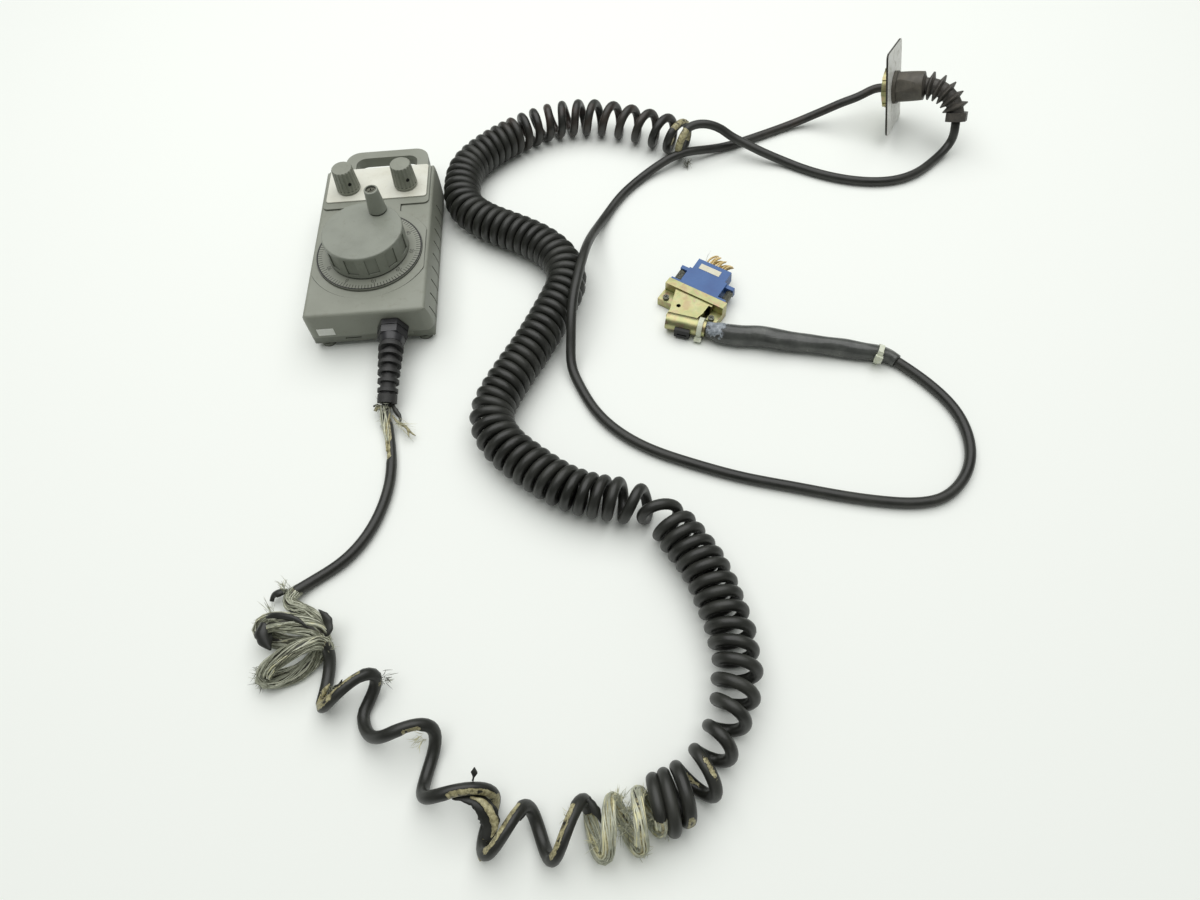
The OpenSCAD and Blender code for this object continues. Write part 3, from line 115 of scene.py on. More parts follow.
def carriedFrames(line):
    # A side direction carried along the line without twist, and tangent cross side
    tangent = unit(np.gradient(line, axis=0))
    side = np.empty_like(line)
    s = unit(np.cross(tangent[0], [0.3, 0.2, 0.93]))
    for i, t in enumerate(tangent):
        s = unit(s - (s @ t) * t)
        side[i] = s
    return side, np.cross(tangent, side)


def levelFrames(line):
    # The level direction to the line's right, and the one square to it and to the line
    tangent = unit(np.gradient(line, axis=0))
    side = unit(np.cross(tangent, [0, 0, 1.0]))
    return side, np.cross(side, tangent)


def roundAngles(count):
    # Equal angles round a circle
    return np.arange(count) * 2 * np.pi / count


def ringFaces(n, sides):
    # Quads between rings i and i + 1, and a flat cap on the first and the last ring
    i, k = np.meshgrid(np.arange(n - 1), np.arange(sides), indexing="ij")
    k2 = (k + 1) % sides
    quads = np.stack([i * sides + k, i * sides + k2, (i + 1) * sides + k2, (i + 1) * sides + k], -1)
    return quads.reshape(-1, 4), np.array([np.arange(sides)[::-1], (n - 1) * sides + np.arange(sides)])


def tubeArrays(line, radius, sides, frames):
    # Point k of ring i lies at line + radius * (cos a * side + sin a * up), with a = 2 pi k / sides
    side, up = (v[:, None] for v in frames)
    a = roundAngles(sides)[None, :, None]
    r = np.broadcast_to(radius, (len(line), sides))[:, :, None]
    return ((line[:, None] + r * (np.cos(a) * side + np.sin(a) * up)).reshape(-1, 3),) + ringFaces(len(line), sides)


def manyTubes(curves, radius, sides):
    # The same tube round every curve of a stack shaped (curves, points, 3), thin at both tips
    m, n = curves.shape[:2]
    tangent = unit(np.gradient(curves, axis=1))
    side = unit(np.cross(tangent, [0.31, 0.22, 0.92]))
    up = np.cross(tangent, side)
    a = roundAngles(sides)[:, None]
    thin = np.clip(np.minimum(np.arange(n), np.arange(n)[::-1]) / 1.5, 0.25, 1)
    r = np.broadcast_to(np.asarray(radius, float).reshape(-1, 1), (m, n)) * thin
    ring = np.cos(a) * side[:, :, None] + np.sin(a) * up[:, :, None]
    quads, caps = ringFaces(n, sides)
    shift = (np.arange(m) * n * sides)[:, None, None]
    points = (curves[:, :, None] + r[:, :, None, None] * ring).reshape(-1, 3)
    return points, (quads + shift).reshape(-1, 4), (caps + shift).reshape(-1, sides)


def joinArrays(parts):
    # Several (points, faces, ...) into one set; faces with the same number of corners go together
    points, faces, n = [], {}, 0
    for p, *groups in parts:
        points.append(p)
        for g in groups:
            faces.setdefault(g.shape[1], []).append(g + n)
        n += len(p)
    return np.concatenate(points), [np.concatenate(faces[w]) for w in sorted(faces)]


def meshFrom(name, points, groups, uv=None, smooth=True):
    # Points in mm; faces in groups, each an array of corners with one row for a face
    mesh = bpy.data.meshes.new(name)
    sizes = np.concatenate([np.full(len(g), g.shape[1], np.int32) for g in groups])
    corners = np.concatenate([np.asarray(g, np.int32).ravel() for g in groups])
    mesh.vertices.add(len(points))
    mesh.vertices.foreach_set("co", (np.asarray(points, np.float32) * mm).ravel())
    mesh.loops.add(len(corners))
    mesh.loops.foreach_set("vertex_index", corners)
    mesh.polygons.add(len(sizes))
    mesh.polygons.foreach_set("loop_start", np.r_[0, np.cumsum(sizes)[:-1]].astype(np.int32))
    mesh.polygons.foreach_set("loop_total", sizes)
    mesh.update(calc_edges=True)
    mesh.validate()
    mesh.polygons.foreach_set("use_smooth", np.full(len(mesh.polygons), smooth))
    if uv is not None:
        index = np.empty(len(mesh.loops), np.int32)
        mesh.loops.foreach_get("vertex_index", index)
        mesh.uv_layers.new(name="along").data.foreach_set("uv", np.asarray(uv, np.float32)[index].ravel())
    obj = bpy.data.objects.new(name, mesh)
    bpy.context.scene.collection.objects.link(obj)
    return obj


def pointValues(obj, name, values):
    # One number for each point, for a material to read
    attribute = obj.data.attributes.new(name, "FLOAT", "POINT")
    attribute.data.foreach_set("value", np.asarray(values, np.float32).ravel())


def window(x, a, b, soft):
    # 1 between a and b, falling to 0 over soft on both sides
    return np.clip((x - a) / soft, 0, 1) * np.clip((b - x) / soft, 0, 1)


def place(obj, body, material):
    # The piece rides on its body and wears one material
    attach(obj, body)
    obj.data.materials.clear()
    obj.data.materials.append(material)


camera = {
    "lens": 24.0, "sensor": 36.0, "clip": (0.02, 20),   # mm, mm, m
    "place": (166.7, -495.7, 467.6),   # mm
    "heading": 0.65, "pitch": 58.13, "roll": -4.82,   # degrees
}


def makeCamera():
    # Right, up and back directions from the heading, the pitch below the horizon and the roll
    data = bpy.data.cameras.new("camera")
    data.lens, data.sensor_width = camera["lens"], camera["sensor"]
    data.clip_start, data.clip_end = camera["clip"]
    h, p, r = (math.radians(camera[k]) for k in ("heading", "pitch", "roll"))
    turn = np.array([[math.cos(h), -math.sin(h), 0], [math.sin(h), math.cos(h), 0], [0, 0, 1]])
    flat, rise = np.array([1.0, 0, 0]), np.array([0, math.sin(p), math.cos(p)])
    m = np.eye(4)
    m[:3, 0] = turn @ (math.cos(r) * flat + math.sin(r) * rise)
    m[:3, 1] = turn @ (-math.sin(r) * flat + math.cos(r) * rise)
    m[:3, 2] = turn @ np.array([0, -math.cos(p), math.sin(p)])
    m[:3, 3] = np.array(camera["place"]) * mm
    obj = bpy.data.objects.new("camera", data)
    bpy.context.scene.collection.objects.link(obj)
    obj.matrix_world = Matrix(m.tolist())
    bpy.context.scene.camera = obj


makeCamera()

studio = {
    "sky": "#F7FAF6", "skyStrength": 0.26,
    "floor": "#F6F9F4", "floorBounce": "#CFD2CC",   # as the camera sees it, and as it lights the object
    "floorSize": 9.0, "floorGrid": 5, "floorUnder": 0.02,   # m, points a side, mm under the feet
    "floorRough": 0.7, "floorSheen": 0.1,
    "fade": (0.75, 1.5), "fadeFrom": (0.2, -0.15, 0),   # m; beyond the second the floor is as pale as the sky
    "box": 37.5, "boxSize": 2.4, "boxPlace": (0.15, 0.35, 1.6), "boxAim": (0.15, 0, 0),   # W, then m
}


def makeFloor():
    # A square grid of quads, white paper near the object that fades to the sky's tone to the camera only
    n = studio["floorGrid"]
    g = np.linspace(-0.5, 0.5, n) * studio["floorSize"] / mm
    x, y = np.meshgrid(g, g, indexing="ij")
    i, k = np.meshgrid(np.arange(n - 1), np.arange(n - 1), indexing="ij")
    quads = np.stack([i * n + k, (i + 1) * n + k, (i + 1) * n + k + 1, i * n + k + 1], -1).reshape(-1, 4)
    points = np.stack([x, y, np.full_like(x, -studio["floorUnder"])], -1).reshape(-1, 3)
    floor = meshFrom("floor", points, [quads], smooth=False)
    material, tree, shader = newMaterial("paperSweep")
    rays = addNode(tree, "LightPath").node.outputs
    seen = addNode(tree, "Math", (rays["Is Camera Ray"], rays["Is Glossy Ray"]), operation="MAXIMUM")
    seen = addNode(tree, "Math", (seen, rays["Is Transmission Ray"]), operation="MAXIMUM")
    tone = addNode(tree, "Mix", {0: seen, 6: studio["floorBounce"], 7: studio["floor"]}, 2, data_type="RGBA")
    tree.links.new(tone, shader.inputs["Base Color"])
    shader.inputs["Roughness"].default_value = studio["floorRough"]
    shader.inputs["Specular IOR Level"].default_value = studio["floorSheen"]
    where = addNode(tree, "NewGeometry", out="Position")
    away = addNode(tree, "VectorMath", (where, studio["fadeFrom"]), "Value", operation="DISTANCE")
    fade = addNode(tree, "MapRange", (away, *studio["fade"]))
    fade = addNode(tree, "Math", (fade, rays["Is Camera Ray"]), operation="MULTIPLY")
    glow = addNode(tree, "Emission", {"Color": studio["sky"], "Strength": 1.0})
    joined = addNode(tree, "MixShader", (fade, shader.outputs[0], glow))
    tree.links.new(joined, tree.nodes["Material Output"].inputs["Surface"])
    floor.data.materials.append(material)


def makeLight():
    # Low even sky, white to the camera, and one wide soft box overhead
    world = bpy.data.worlds.new("studio")
    bpy.context.scene.world = world
    world.use_nodes = True
    tree = world.node_tree
    back = tree.nodes["Background"]
    back.inputs["Color"].default_value = linear(studio["sky"])
    seen = addNode(tree, "LightPath", out="Is Camera Ray")
    strength = addNode(tree, "MapRange", {"Value": seen, "To Min": studio["skyStrength"]})
    tree.links.new(strength, back.inputs["Strength"])
    light = bpy.data.lights.new("softBox", "AREA")
    light.energy, light.size = studio["box"], studio["boxSize"]
    box = bpy.data.objects.new("softBox", light)
    box.location = studio["boxPlace"]
    box.rotation_euler = (Vector(studio["boxAim"]) - box.location).to_track_quat("-Z", "Y").to_euler()
    bpy.context.scene.collection.objects.link(box)


makeFloor()
makeLight()
print("camera, floor and light made")


def mottled(tree, where, size, detail, colours, band=(0.3, 0.7), rough=0.55):
    # Noise of that size in mm; its values over the band run through the colours
    scale = {"Vector": where, "Scale": perMm / size, "Detail": detail, "Roughness": rough}
    noise = addNode(tree, "TexNoise", scale)
    stops = zip(np.linspace(*band, len(colours)), colours)
    return addNode(tree, "ValToRGB", {"Fac": noise}, stops=stops), noise


def plainFinish(name, f):
    # Broad mottling, specks of dirt, grime and painted shade where the surface closes in, uneven gloss and a fine
    # bumpy grain
    material, tree, shader = newMaterial(name)
    where = addNode(tree, "TexCoord", out="Object")
    colour, broad = mottled(tree, where, f["patch"], 5, f["colours"])
    if "dirt" in f:
        specks = addNode(tree, "TexNoise", {"Vector": where, "Scale": perMm / f["dirtSize"], "Detail": 6,
                "Roughness": 0.7})
        amount = addNode(tree, "MapRange", (specks, 0.56, 0.74, 0, f["dirtAmount"]))
        colour = addNode(tree, "Mix", {0: amount, 6: colour, 7: f["dirt"]}, 2, data_type="RGBA")
    # ambient occlusion darkens slots, grooves and recesses: some grime, and painted shade where shade falls in them
    if "creviceGrimeAndShade" in f:
        near = addNode(tree, "AmbientOcclusion", {"Distance": f.get("creviceSize", 1.4) * mm}, "AO", samples=8)
        amount = addNode(tree, "MapRange", (near, 0.45, 0.85, f.get("creviceAmount", 0.75), 0))
        colour = addNode(tree, "Mix", {0: amount, 6: colour, 7: f["creviceGrimeAndShade"]}, 2, data_type="RGBA")
    grainAt = addNode(tree, "Mapping", {"Vector": where, "Scale": f["stretch"]}) if "stretch" in f else where
    grain = addNode(tree, "TexNoise", {"Vector": grainAt, "Scale": perMm / f["grain"], "Detail": 3, "Roughness": 0.6})
    gloss = addNode(tree, "Math", (broad, 0.6), operation="MULTIPLY")
    gloss = addNode(tree, "Math", (grain, 0.4, gloss), operation="MULTIPLY_ADD")
    bump = addNode(tree, "Bump", {"Height": grain, "Distance": f.get("bump", 0.03) * mm, "Strength": 1.0})
    tree.links.new(colour, shader.inputs["Base Color"])
    tree.links.new(addNode(tree, "MapRange", (gloss, 0.3, 0.7, *f["rough"])), shader.inputs["Roughness"])
    tree.links.new(bump, shader.inputs["Normal"])
    for key, value in f.get("set", {}).items():
        shader.inputs[key].default_value = value
    return material, tree, shader, where


# Sizes in mm: patch of tone, speck of dirt, reach of the grime and painted shade in crevices, grain and its bump;
# stretch draws the grain out.
# The noise of a grain or speck is drawn a little coarser than the real one, so that it still shows from this far.
plainSpecs = {
    # moulded ABS, spark-eroded tool: soft sheen, fine even pits, skin grease darkens it in patches, painted shade its
    # slots and recesses
    "mouldedAbs": dict(colours=["#83867A", "#8C8F83", "#92958A"], patch=45, dirt="#6E6A5A", dirtSize=7,
            dirtAmount=0.35, creviceGrimeAndShade="#1E1D18", creviceSize=2, creviceAmount=0.85, grain=0.45, bump=0.035,
            rough=(0.4, 0.56)),
    "coverAbs": dict(colours=["#6F7268", "#787B70"], patch=40, dirt="#57534A", dirtSize=6, dirtAmount=0.4,
            creviceGrimeAndShade="#2A2822", grain=0.45, bump=0.035, rough=(0.45, 0.6)),
    # the same ABS polished by hands on the wheel, knobs and grip
    "handledAbs": dict(colours=["#81857A", "#8A8E83", "#8F9388"], patch=26, dirt="#6A675A", dirtSize=5,
            dirtAmount=0.35, creviceGrimeAndShade="#2C2B24", creviceSize=1.1, grain=0.4, bump=0.02, rough=(0.34, 0.5)),
    "knobAbs": dict(colours=["#84877B", "#919487"], patch=14, dirt="#5A584D", dirtSize=3, dirtAmount=0.45,
            creviceGrimeAndShade="#25241E", creviceSize=1.0, grain=0.4, bump=0.02, rough=(0.34, 0.5)),
    # thin coated aluminium, printed side out: silky, slightly yellowed
    "coatedPlate": dict(colours=["#D2D1C2", "#DDDDD0", "#E2E3D8"], patch=18, dirt="#B4AE98", dirtSize=2.5,
            dirtAmount=0.4, grain=0.3, bump=0.012, rough=(0.36, 0.5)),
    "paperSticker": dict(colours=["#E6E7E0", "#EEF0EA"], patch=5, dirt="#C9C6B4", dirtSize=2, dirtAmount=0.4,
            grain=0.3, bump=0.02, rough=(0.5, 0.65)),
    # glass-filled nylon, moulded: near black with a broad soft shine
    "glandNylon": dict(colours=["#242426", "#2E2E30", "#38383A"], patch=9, dirt="#5B5750", dirtSize=3, dirtAmount=0.3,
            creviceGrimeAndShade="#101010", grain=0.3, bump=0.02, rough=(0.26, 0.4)),
    # the same, dusty brown from years behind a cabinet wall
    "dustyNylon": dict(colours=["#46423B", "#545047", "#605B51"], patch=8, dirt="#7A7364", dirtSize=3, dirtAmount=0.5,
            creviceGrimeAndShade="#201E1A", grain=0.3, bump=0.02, rough=(0.42, 0.58)),
    # thermoplastic rubber: matt and dusty, its grooves darkened with painted shade
    "bendRubber": dict(colours=["#282827", "#30302F", "#383837"], patch=8, dirt="#5C5A54", dirtSize=2.5,
            dirtAmount=0.35, creviceGrimeAndShade="#0C0C0C", creviceSize=2.2, creviceAmount=0.9, grain=0.35, bump=0.03,
            rough=(0.5, 0.66)),
    "plateRubber": dict(colours=["#3B3935", "#484540", "#55514A"], patch=7, dirt="#7C7568", dirtSize=2,
            dirtAmount=0.5, creviceGrimeAndShade="#1C1A18", grain=0.35, bump=0.03, rough=(0.45, 0.6)),
    "sealRubber": dict(colours=["#1E1E1E", "#262626"], patch=6, grain=0.3, bump=0.02, rough=(0.55, 0.7)),
    # bright zinc-plated steel, turned
    "brightSteel": dict(colours=["#B9BBBC", "#C9CBCB"], patch=4, dirt="#8A867C", dirtSize=1.2, dirtAmount=0.3,
            grain=0.25, bump=0.01, rough=(0.26, 0.42), set={"Metallic": 1.0}),
    "shaftSteel": dict(colours=["#B4B6B8", "#C6C8C9"], patch=8, grain=0.2, stretch=(1, 1, 12), bump=0.006,
            rough=(0.2, 0.34), set={"Metallic": 1.0}),
    "blackSteel": dict(colours=["#262626", "#303030"], patch=3, grain=0.25, bump=0.012, rough=(0.35, 0.5),
            set={"Metallic": 0.6}),
    # plain sheet steel with rolled grain and dull spots
    "sheetSteel": dict(colours=["#BDBBB0", "#E4E4DE", "#EFEFEB", "#D4D3CB"], patch=9, dirt="#8B8474", dirtSize=5,
            dirtAmount=0.75, grain=0.5, stretch=(1, 1, 0.12), bump=0.03, rough=(0.34, 0.55), set={"Metallic": 0.1}),
    # zinc-plated steel gone dull and dark with grease
    "dullSteel": dict(colours=["#4E4F45", "#6A6B60", "#8C8D82"], patch=1.2, dirt="#35342C", dirtSize=0.9,
            dirtAmount=0.7, grain=0.25, bump=0.02, rough=(0.4, 0.6), set={"Metallic": 0.7}),
    "whitePaper": dict(colours=["#D9D4BC", "#E3DFCA"], patch=4, dirt="#B3AC90", dirtSize=1.2, dirtAmount=0.6,
            grain=0.3, bump=0.02, rough=(0.45, 0.6)),
    "detentBrass": dict(colours=["#B08D4A", "#C6A25C"], patch=6, grain=0.25, bump=0.008, rough=(0.28, 0.42),
            set={"Metallic": 1.0}),
    "blackAbs": dict(colours=["#232323", "#2D2D2D"], patch=9, grain=0.35, bump=0.02, rough=(0.45, 0.6)),
    "boardLacquer": dict(colours=["#1E4E2C", "#276238"], patch=6, grain=0.4, bump=0.015, rough=(0.25, 0.4)),
    "terminalPlastic": dict(colours=["#3E6B46", "#4A7A52"], patch=6, grain=0.35, bump=0.02, rough=(0.4, 0.55)),
    # glass-filled polyester of the plug body: strong blue, satin
    "plugBlue": dict(colours=["#345893", "#3D639C", "#456BA3"], patch=12, dirt="#2C4E86", dirtSize=3, dirtAmount=0.4,
            grain=0.35, bump=0.02, rough=(0.36, 0.5)),
    # undyed nylon of the ties: milky, faintly green
    "tieNylon": dict(colours=["#C9CDB6", "#D6DAC6", "#DDE1CF"], patch=5, dirt="#A9A68C", dirtSize=1.5, dirtAmount=0.4,
            grain=0.3, bump=0.015, rough=(0.34, 0.48), set={"Subsurface Weight": 0.25,
            "Subsurface Radius": (0.002, 0.002, 0.0015)}),
    "wireSleeving": dict(colours=["#C9AA6A", "#DABF80", "#E6CF98"], patch=3, dirt="#9C7E48", dirtSize=1.2,
            dirtAmount=0.4, grain=0.3, bump=0.015, rough=(0.35, 0.5)),
}
finish = {name: plainFinish(name, f)[0] for name, f in plainSpecs.items()}
zinc = dict(colours=["#8D8966", "#A5A17C", "#B8B494"], patch=8, dirt="#75694A", dirtSize=2, dirtAmount=0.5,
        creviceGrimeAndShade="#2B2718", grain=0.3, bump=0.015, rough=(0.3, 0.46), set={"Metallic": 1.0},
        tints=["#A98E6F", "#B6B07D", "#9AA874", "#B3857B"], tintSize=9, tintAmount=0.45)


def zincFinish():
    # Yellow chromate over zinc: pale gold that drifts to pink and green in patches of about 9 mm
    material, tree, shader, where = plainFinish("chromatedZinc", zinc)
    tint, _ = mottled(tree, where, zinc["tintSize"], 3, zinc["tints"], (0.35, 0.65))
    base = shader.inputs["Base Color"].links[0].from_socket
    colour = addNode(tree, "Mix", {0: zinc["tintAmount"], 6: base, 7: tint}, 2, data_type="RGBA")
    tree.links.new(colour, shader.inputs["Base Color"])
    return material


def cutEdges(material, obj, shade):
    # Sheared edges, darker: dark where the surface turns away from the normal of the broadest face
    mesh = obj.data
    area, normal = np.empty(len(mesh.polygons), np.float32), np.empty(len(mesh.polygons) * 3, np.float32)
    mesh.polygons.foreach_get("area", area)
    mesh.polygons.foreach_get("normal", normal)
    broad = normal.reshape(-1, 3)[area.argmax()].tolist()
    tree = material.node_tree
    colourIn = tree.nodes["Principled BSDF"].inputs["Base Color"]
    facing = addNode(tree, "VectorMath", (addNode(tree, "NewGeometry", out="True Normal"), broad), "Value",
            operation="DOT_PRODUCT")
    facing = addNode(tree, "Math", (facing,), operation="ABSOLUTE")
    edge = addNode(tree, "MapRange", (facing, 0.5, 0.9, 1, 0))
    base = colourIn.links[0].from_socket
    tree.links.new(addNode(tree, "Mix", {0: edge, 6: base, 7: shade}, 2, data_type="RGBA"), colourIn)


finish["chromatedZinc"] = zincFinish()
cutEdges(finish["sheetSteel"], nodes["mounting_plate"], "#3A3731")
print("plain finishes made:", len(finish))

cord = {
    "radius": 3.6, "core": 2.75,   # mm, the jacket and the bundle under it
    "sides": 18, "plugSides": 20, "perTurn": 26,   # round the main cord, round the plug's, along a turn of the coil
    "step": 2.0, "tailStep": 2.5, "closest": 0.3,   # mm between rings; nearer ones are dropped
    # mm: from the case, into the coil, from the coil to the plate, and from the plate to the plug
    "lead": [[15.1, -158.7, 9.6], [14.6, -164, 7], [15.5, -174, 4.4], [18, -188, 3.7], [20.5, -212, 3.7],
            [17, -238, 3.7], [8, -260, 3.7], [-6, -277, 3.7], [-22, -288, 3.8], [-31.5, -295, 5.5]],
    "firstBend": [[-34.5, -300.5, 7.5], [-29.5, -307.5, 9.5], [-19, -313.5, 11.5]],
    "tailA": [[274, 98.5, 27.5], [285, 98, 23.5], [295, 94.5, 17.5], [307, 88.5, 13], [321, 80, 9.5], [336, 73, 5.5],
            [356, 60, 3.7], [379, 47, 3.7], [402, 39.5, 3.7], [424, 38, 3.7], [446, 44.5, 3.7], [466, 59, 4],
            [476, 67, 6.5], [482, 72, 12.5], [482.6, 73.6, 20], [482.4, 77.2, 27.4]],
    "tailB": [[431.2, 118.5, 35.1], [425, 121.5, 33], [412, 121, 27.5], [398, 120.5, 22.5], [385, 121.5, 16],
            [372, 122.5, 9.5], [357, 120.5, 5], [338, 114, 3.7], [312, 104, 3.7], [290, 96.5, 4.4], [270, 90, 8],
            [250, 83.5, 10.5], [232, 76, 7], [211, 60.5, 3.8], [195, 42, 3.7], [184, 24, 4.2], [175, 4, 9],
            [167.5, -20, 19], [161, -50, 29.5], [156, -72, 31], [152, -90, 29], [149.5, -106, 24], [148, -120, 15.5],
            [147.5, -136, 7], [152, -151, 3.9], [164, -177, 3.7], [181, -197, 3.7], [202, -212, 3.7],
            [224, -223, 3.7], [256, -236.5, 3.7], [289, -247, 3.7], [320, -256.5, 3.7], [345, -262.5, 3.7],
            [365, -265, 3.7], [382, -262.5, 3.7], [397, -252, 3.7], [407, -237, 3.7], [411.5, -216, 3.7],
            [409, -196, 3.7], [400, -177, 3.8], [390, -163, 4], [379.5, -151.5, 4.8]],
}
coil = {
    # the coil's middle line on the floor, mm
    "axis": [[-34, -297], [-22, -322], [-2, -349], [24, -374], [54, -398], [80, -421], [104, -438], [133, -444],
            [163, -441], [186, -432], [205, -418], [222, -395], [231, -366], [229, -331], [218, -299], [203, -272],
            [186, -257], [166, -251], [140, -241], [116, -222], [97, -201], [91, -182], [97, -162], [118, -125],
            [140, -81], [147, -60], [144, -40], [131, -21], [103, 0], [78, 18], [66, 35], [63.4, 56], [67, 78],
            [78, 94], [93, 108], [115, 123], [148, 136], [176, 136], [211, 124], [247, 103], [264, 91.5]],
    # the stretched turns, one place for each half turn: left side of the run, then right side
    "loose": [[-11, -322.5], [-47, -320.5], [-9, -330], [-41, -349], [-6, -335], [-4, -370], [25, -355], [27.5, -389],
            [60, -387], [57, -421.5], [93, -422], [90, -451], [112, -430], [124.5, -456], [142, -429], [151, -456],
            [157, -429], [170, -454], [171, -427], [181, -446], [179, -421], [188, -447], [185, -419], [196, -443],
            [192, -416], [211, -431], [203, -408], [222, -413], [212, -396], [232, -397], [218, -382], [239, -384],
            [220, -371], [243, -369], [222, -360], [243, -357], [221, -350], [243, -345], [220, -341], [241, -333],
            [218, -332], [239, -323], [216, -324], [237, -314], [214, -316], [234, -304], [211, -308], [231, -296],
            [208, -301], [227, -288], [204, -294], [222, -279], [200, -287], [217, -271], [196, -279], [210, -263],
            [187, -266], [190, -249]],
    # how far the high strands lean back and the low ones forward, in x and y, against half turns
    "lean": [(0, 0, -5), (0.5, 0, -7), (1.5, 0, -6), (2.5, 0, -10), (3.5, 0, -6), (4.3, 0, 0), (5.7, 0, 0),
            (6.5, -9.5, 0), (7.4, -2, 0), (8.5, -2, 0), (9.6, 0, 0), (210, 0, 0)],
    # half turns so far against millimetres along the middle line
    "pace": [(57, 491), (59.2, 506), (62, 519), (81, 599), (120, 753), (160, 911), (179.7, 988), (183.7, 1010),
            (187.7, 1035), (191.7, 1062), (195.7, 1095), (199.7, 1129), (201.7, 1143), (203.5, 1152)],
    "runOut": 3,   # mm for each half turn past the last
    "axisStep": 0.5,
    # half the width and half the height of the turns, mm, against half turns
    "radius": [(0, 12), (62, 11.5), (70, 11.9), (198, 11.9), (200.5, 13.2), (210, 13.6)],
    "height": [(0, 7.5), (4, 8.5), (6, 9.4), (18, 9.8), (24, 10.6), (31, 11), (56, 11), (70, 11.9), (210, 11.9)],
}


def coilLine():
    # Middle line plus the side radius times cos(pi t) and the height times -sin(pi t), t in half turns
    axis = smoothLine(coil["axis"], coil["axisStep"])
    run = runAlong(axis)
    heading = unit(np.gradient(axis, axis=0))
    loose = np.array(coil["loose"], float)
    n = len(loose)
    between = (loose[:-2] + 2 * loose[1:-1] + loose[2:]) / 4
    middle = np.r_[[loose[:2].mean(0)], between, [loose[-2:].mean(0)]]
    swing = (loose - middle) * np.where(np.arange(n) % 2, -1, 1)[:, None]
    paceAt, paceRun = np.array(coil["pace"], float).T
    last = paceAt[-1]
    marks = np.arange(n, math.ceil(last) + 2)
    s = np.interp(marks, paceAt, paceRun) + np.maximum(marks - last, 0) * coil["runOut"]
    s = np.minimum(s, run[-1])
    toLeft = np.stack([-np.interp(s, run, heading[:, 1]), np.interp(s, run, heading[:, 0])], -1)
    tight = np.stack([np.interp(s, run, axis[:, k]) for k in (0, 1)], -1)
    width = np.interp(marks, *np.array(coil["radius"]).T)[:, None]
    at = np.r_[np.arange(n), marks]
    t = np.arange(0, last + 1e-9, 2 / cord["perTurn"])
    m = splineAt(at, np.concatenate([middle, tight]), t)
    d = splineAt(at, np.concatenate([swing, toLeft * width]), t)
    leanAt, *leanBy = np.array(coil["lean"], float).T
    lean = np.stack([np.interp(t, leanAt, by) for by in leanBy], -1)
    plan = m + d * np.cos(np.pi * t)[:, None] + lean * np.sin(np.pi * t)[:, None]
    high = np.interp(t, *np.array(coil["height"]).T)
    return t, np.c_[plan, cord["radius"] + high - high * np.sin(np.pi * t)]


def mainCordLine():
    # Lead, first bend, turns, the way out of the last turn and the tail, end to end without doubled points
    lead, tail = smoothLine(cord["lead"], cord["step"]), smoothLine(cord["tailA"], cord["tailStep"])
    bend = smoothLine(np.concatenate([lead[-3:], cord["firstBend"], turns[1:3]]), cord["step"])
    leave = smoothLine(np.concatenate([turns[-3:], cord["tailA"][:2]]), cord["step"])
    line = np.concatenate([lead[:-3], bend, turns[3:-3], leave[:-1], tail[6:]])
    return line[np.r_[True, np.linalg.norm(np.diff(line, axis=0), axis=1) > cord["closest"]]]


turnAt, turns = coilLine()
mainLine = mainCordLine()
mainRun = runAlong(mainLine)
plugLine = smoothLine(cord["tailB"], cord["tailStep"])
plugRun = runAlong(plugLine)
print("main cord %.2f m in %d rings, plug cord %.2f m" % (mainRun[-1] * mm, len(mainLine), plugRun[-1] * mm))

jacket = {
    "colours": ["#1B1C18", "#252622", "#31322D"], "patch": 22,   # charcoal, mm
    "scuff": "#54544C", "scuffScale": (9, 90, 1), "scuffAmount": 0.45,   # dust rubbed in along the cord
    "rust": "#57443A", "rustSize": 16.667, "rustAmount": 0.6, "rustFrom": (0.1, 0.135),   # mm, share, m in y
    "sheath": ["#4B4534", "#8C8562", "#B3AC84", "#CFC9A4"], "sheathSize": 2.2,
    "hollow": "#211F1A", "hollowSize": 5.882, "greased": "#33322A",
    "ragged": 2.381, "raggedBy": 1.2, "tearAt": (1.07, 1.13),   # mm, share, where the two together open the jacket
    "grain": 0.625, "grainHigh": 0.12, "bump": 0.35, "rough": (0.33, 0.47),   # mm, share of the bump, mm
}


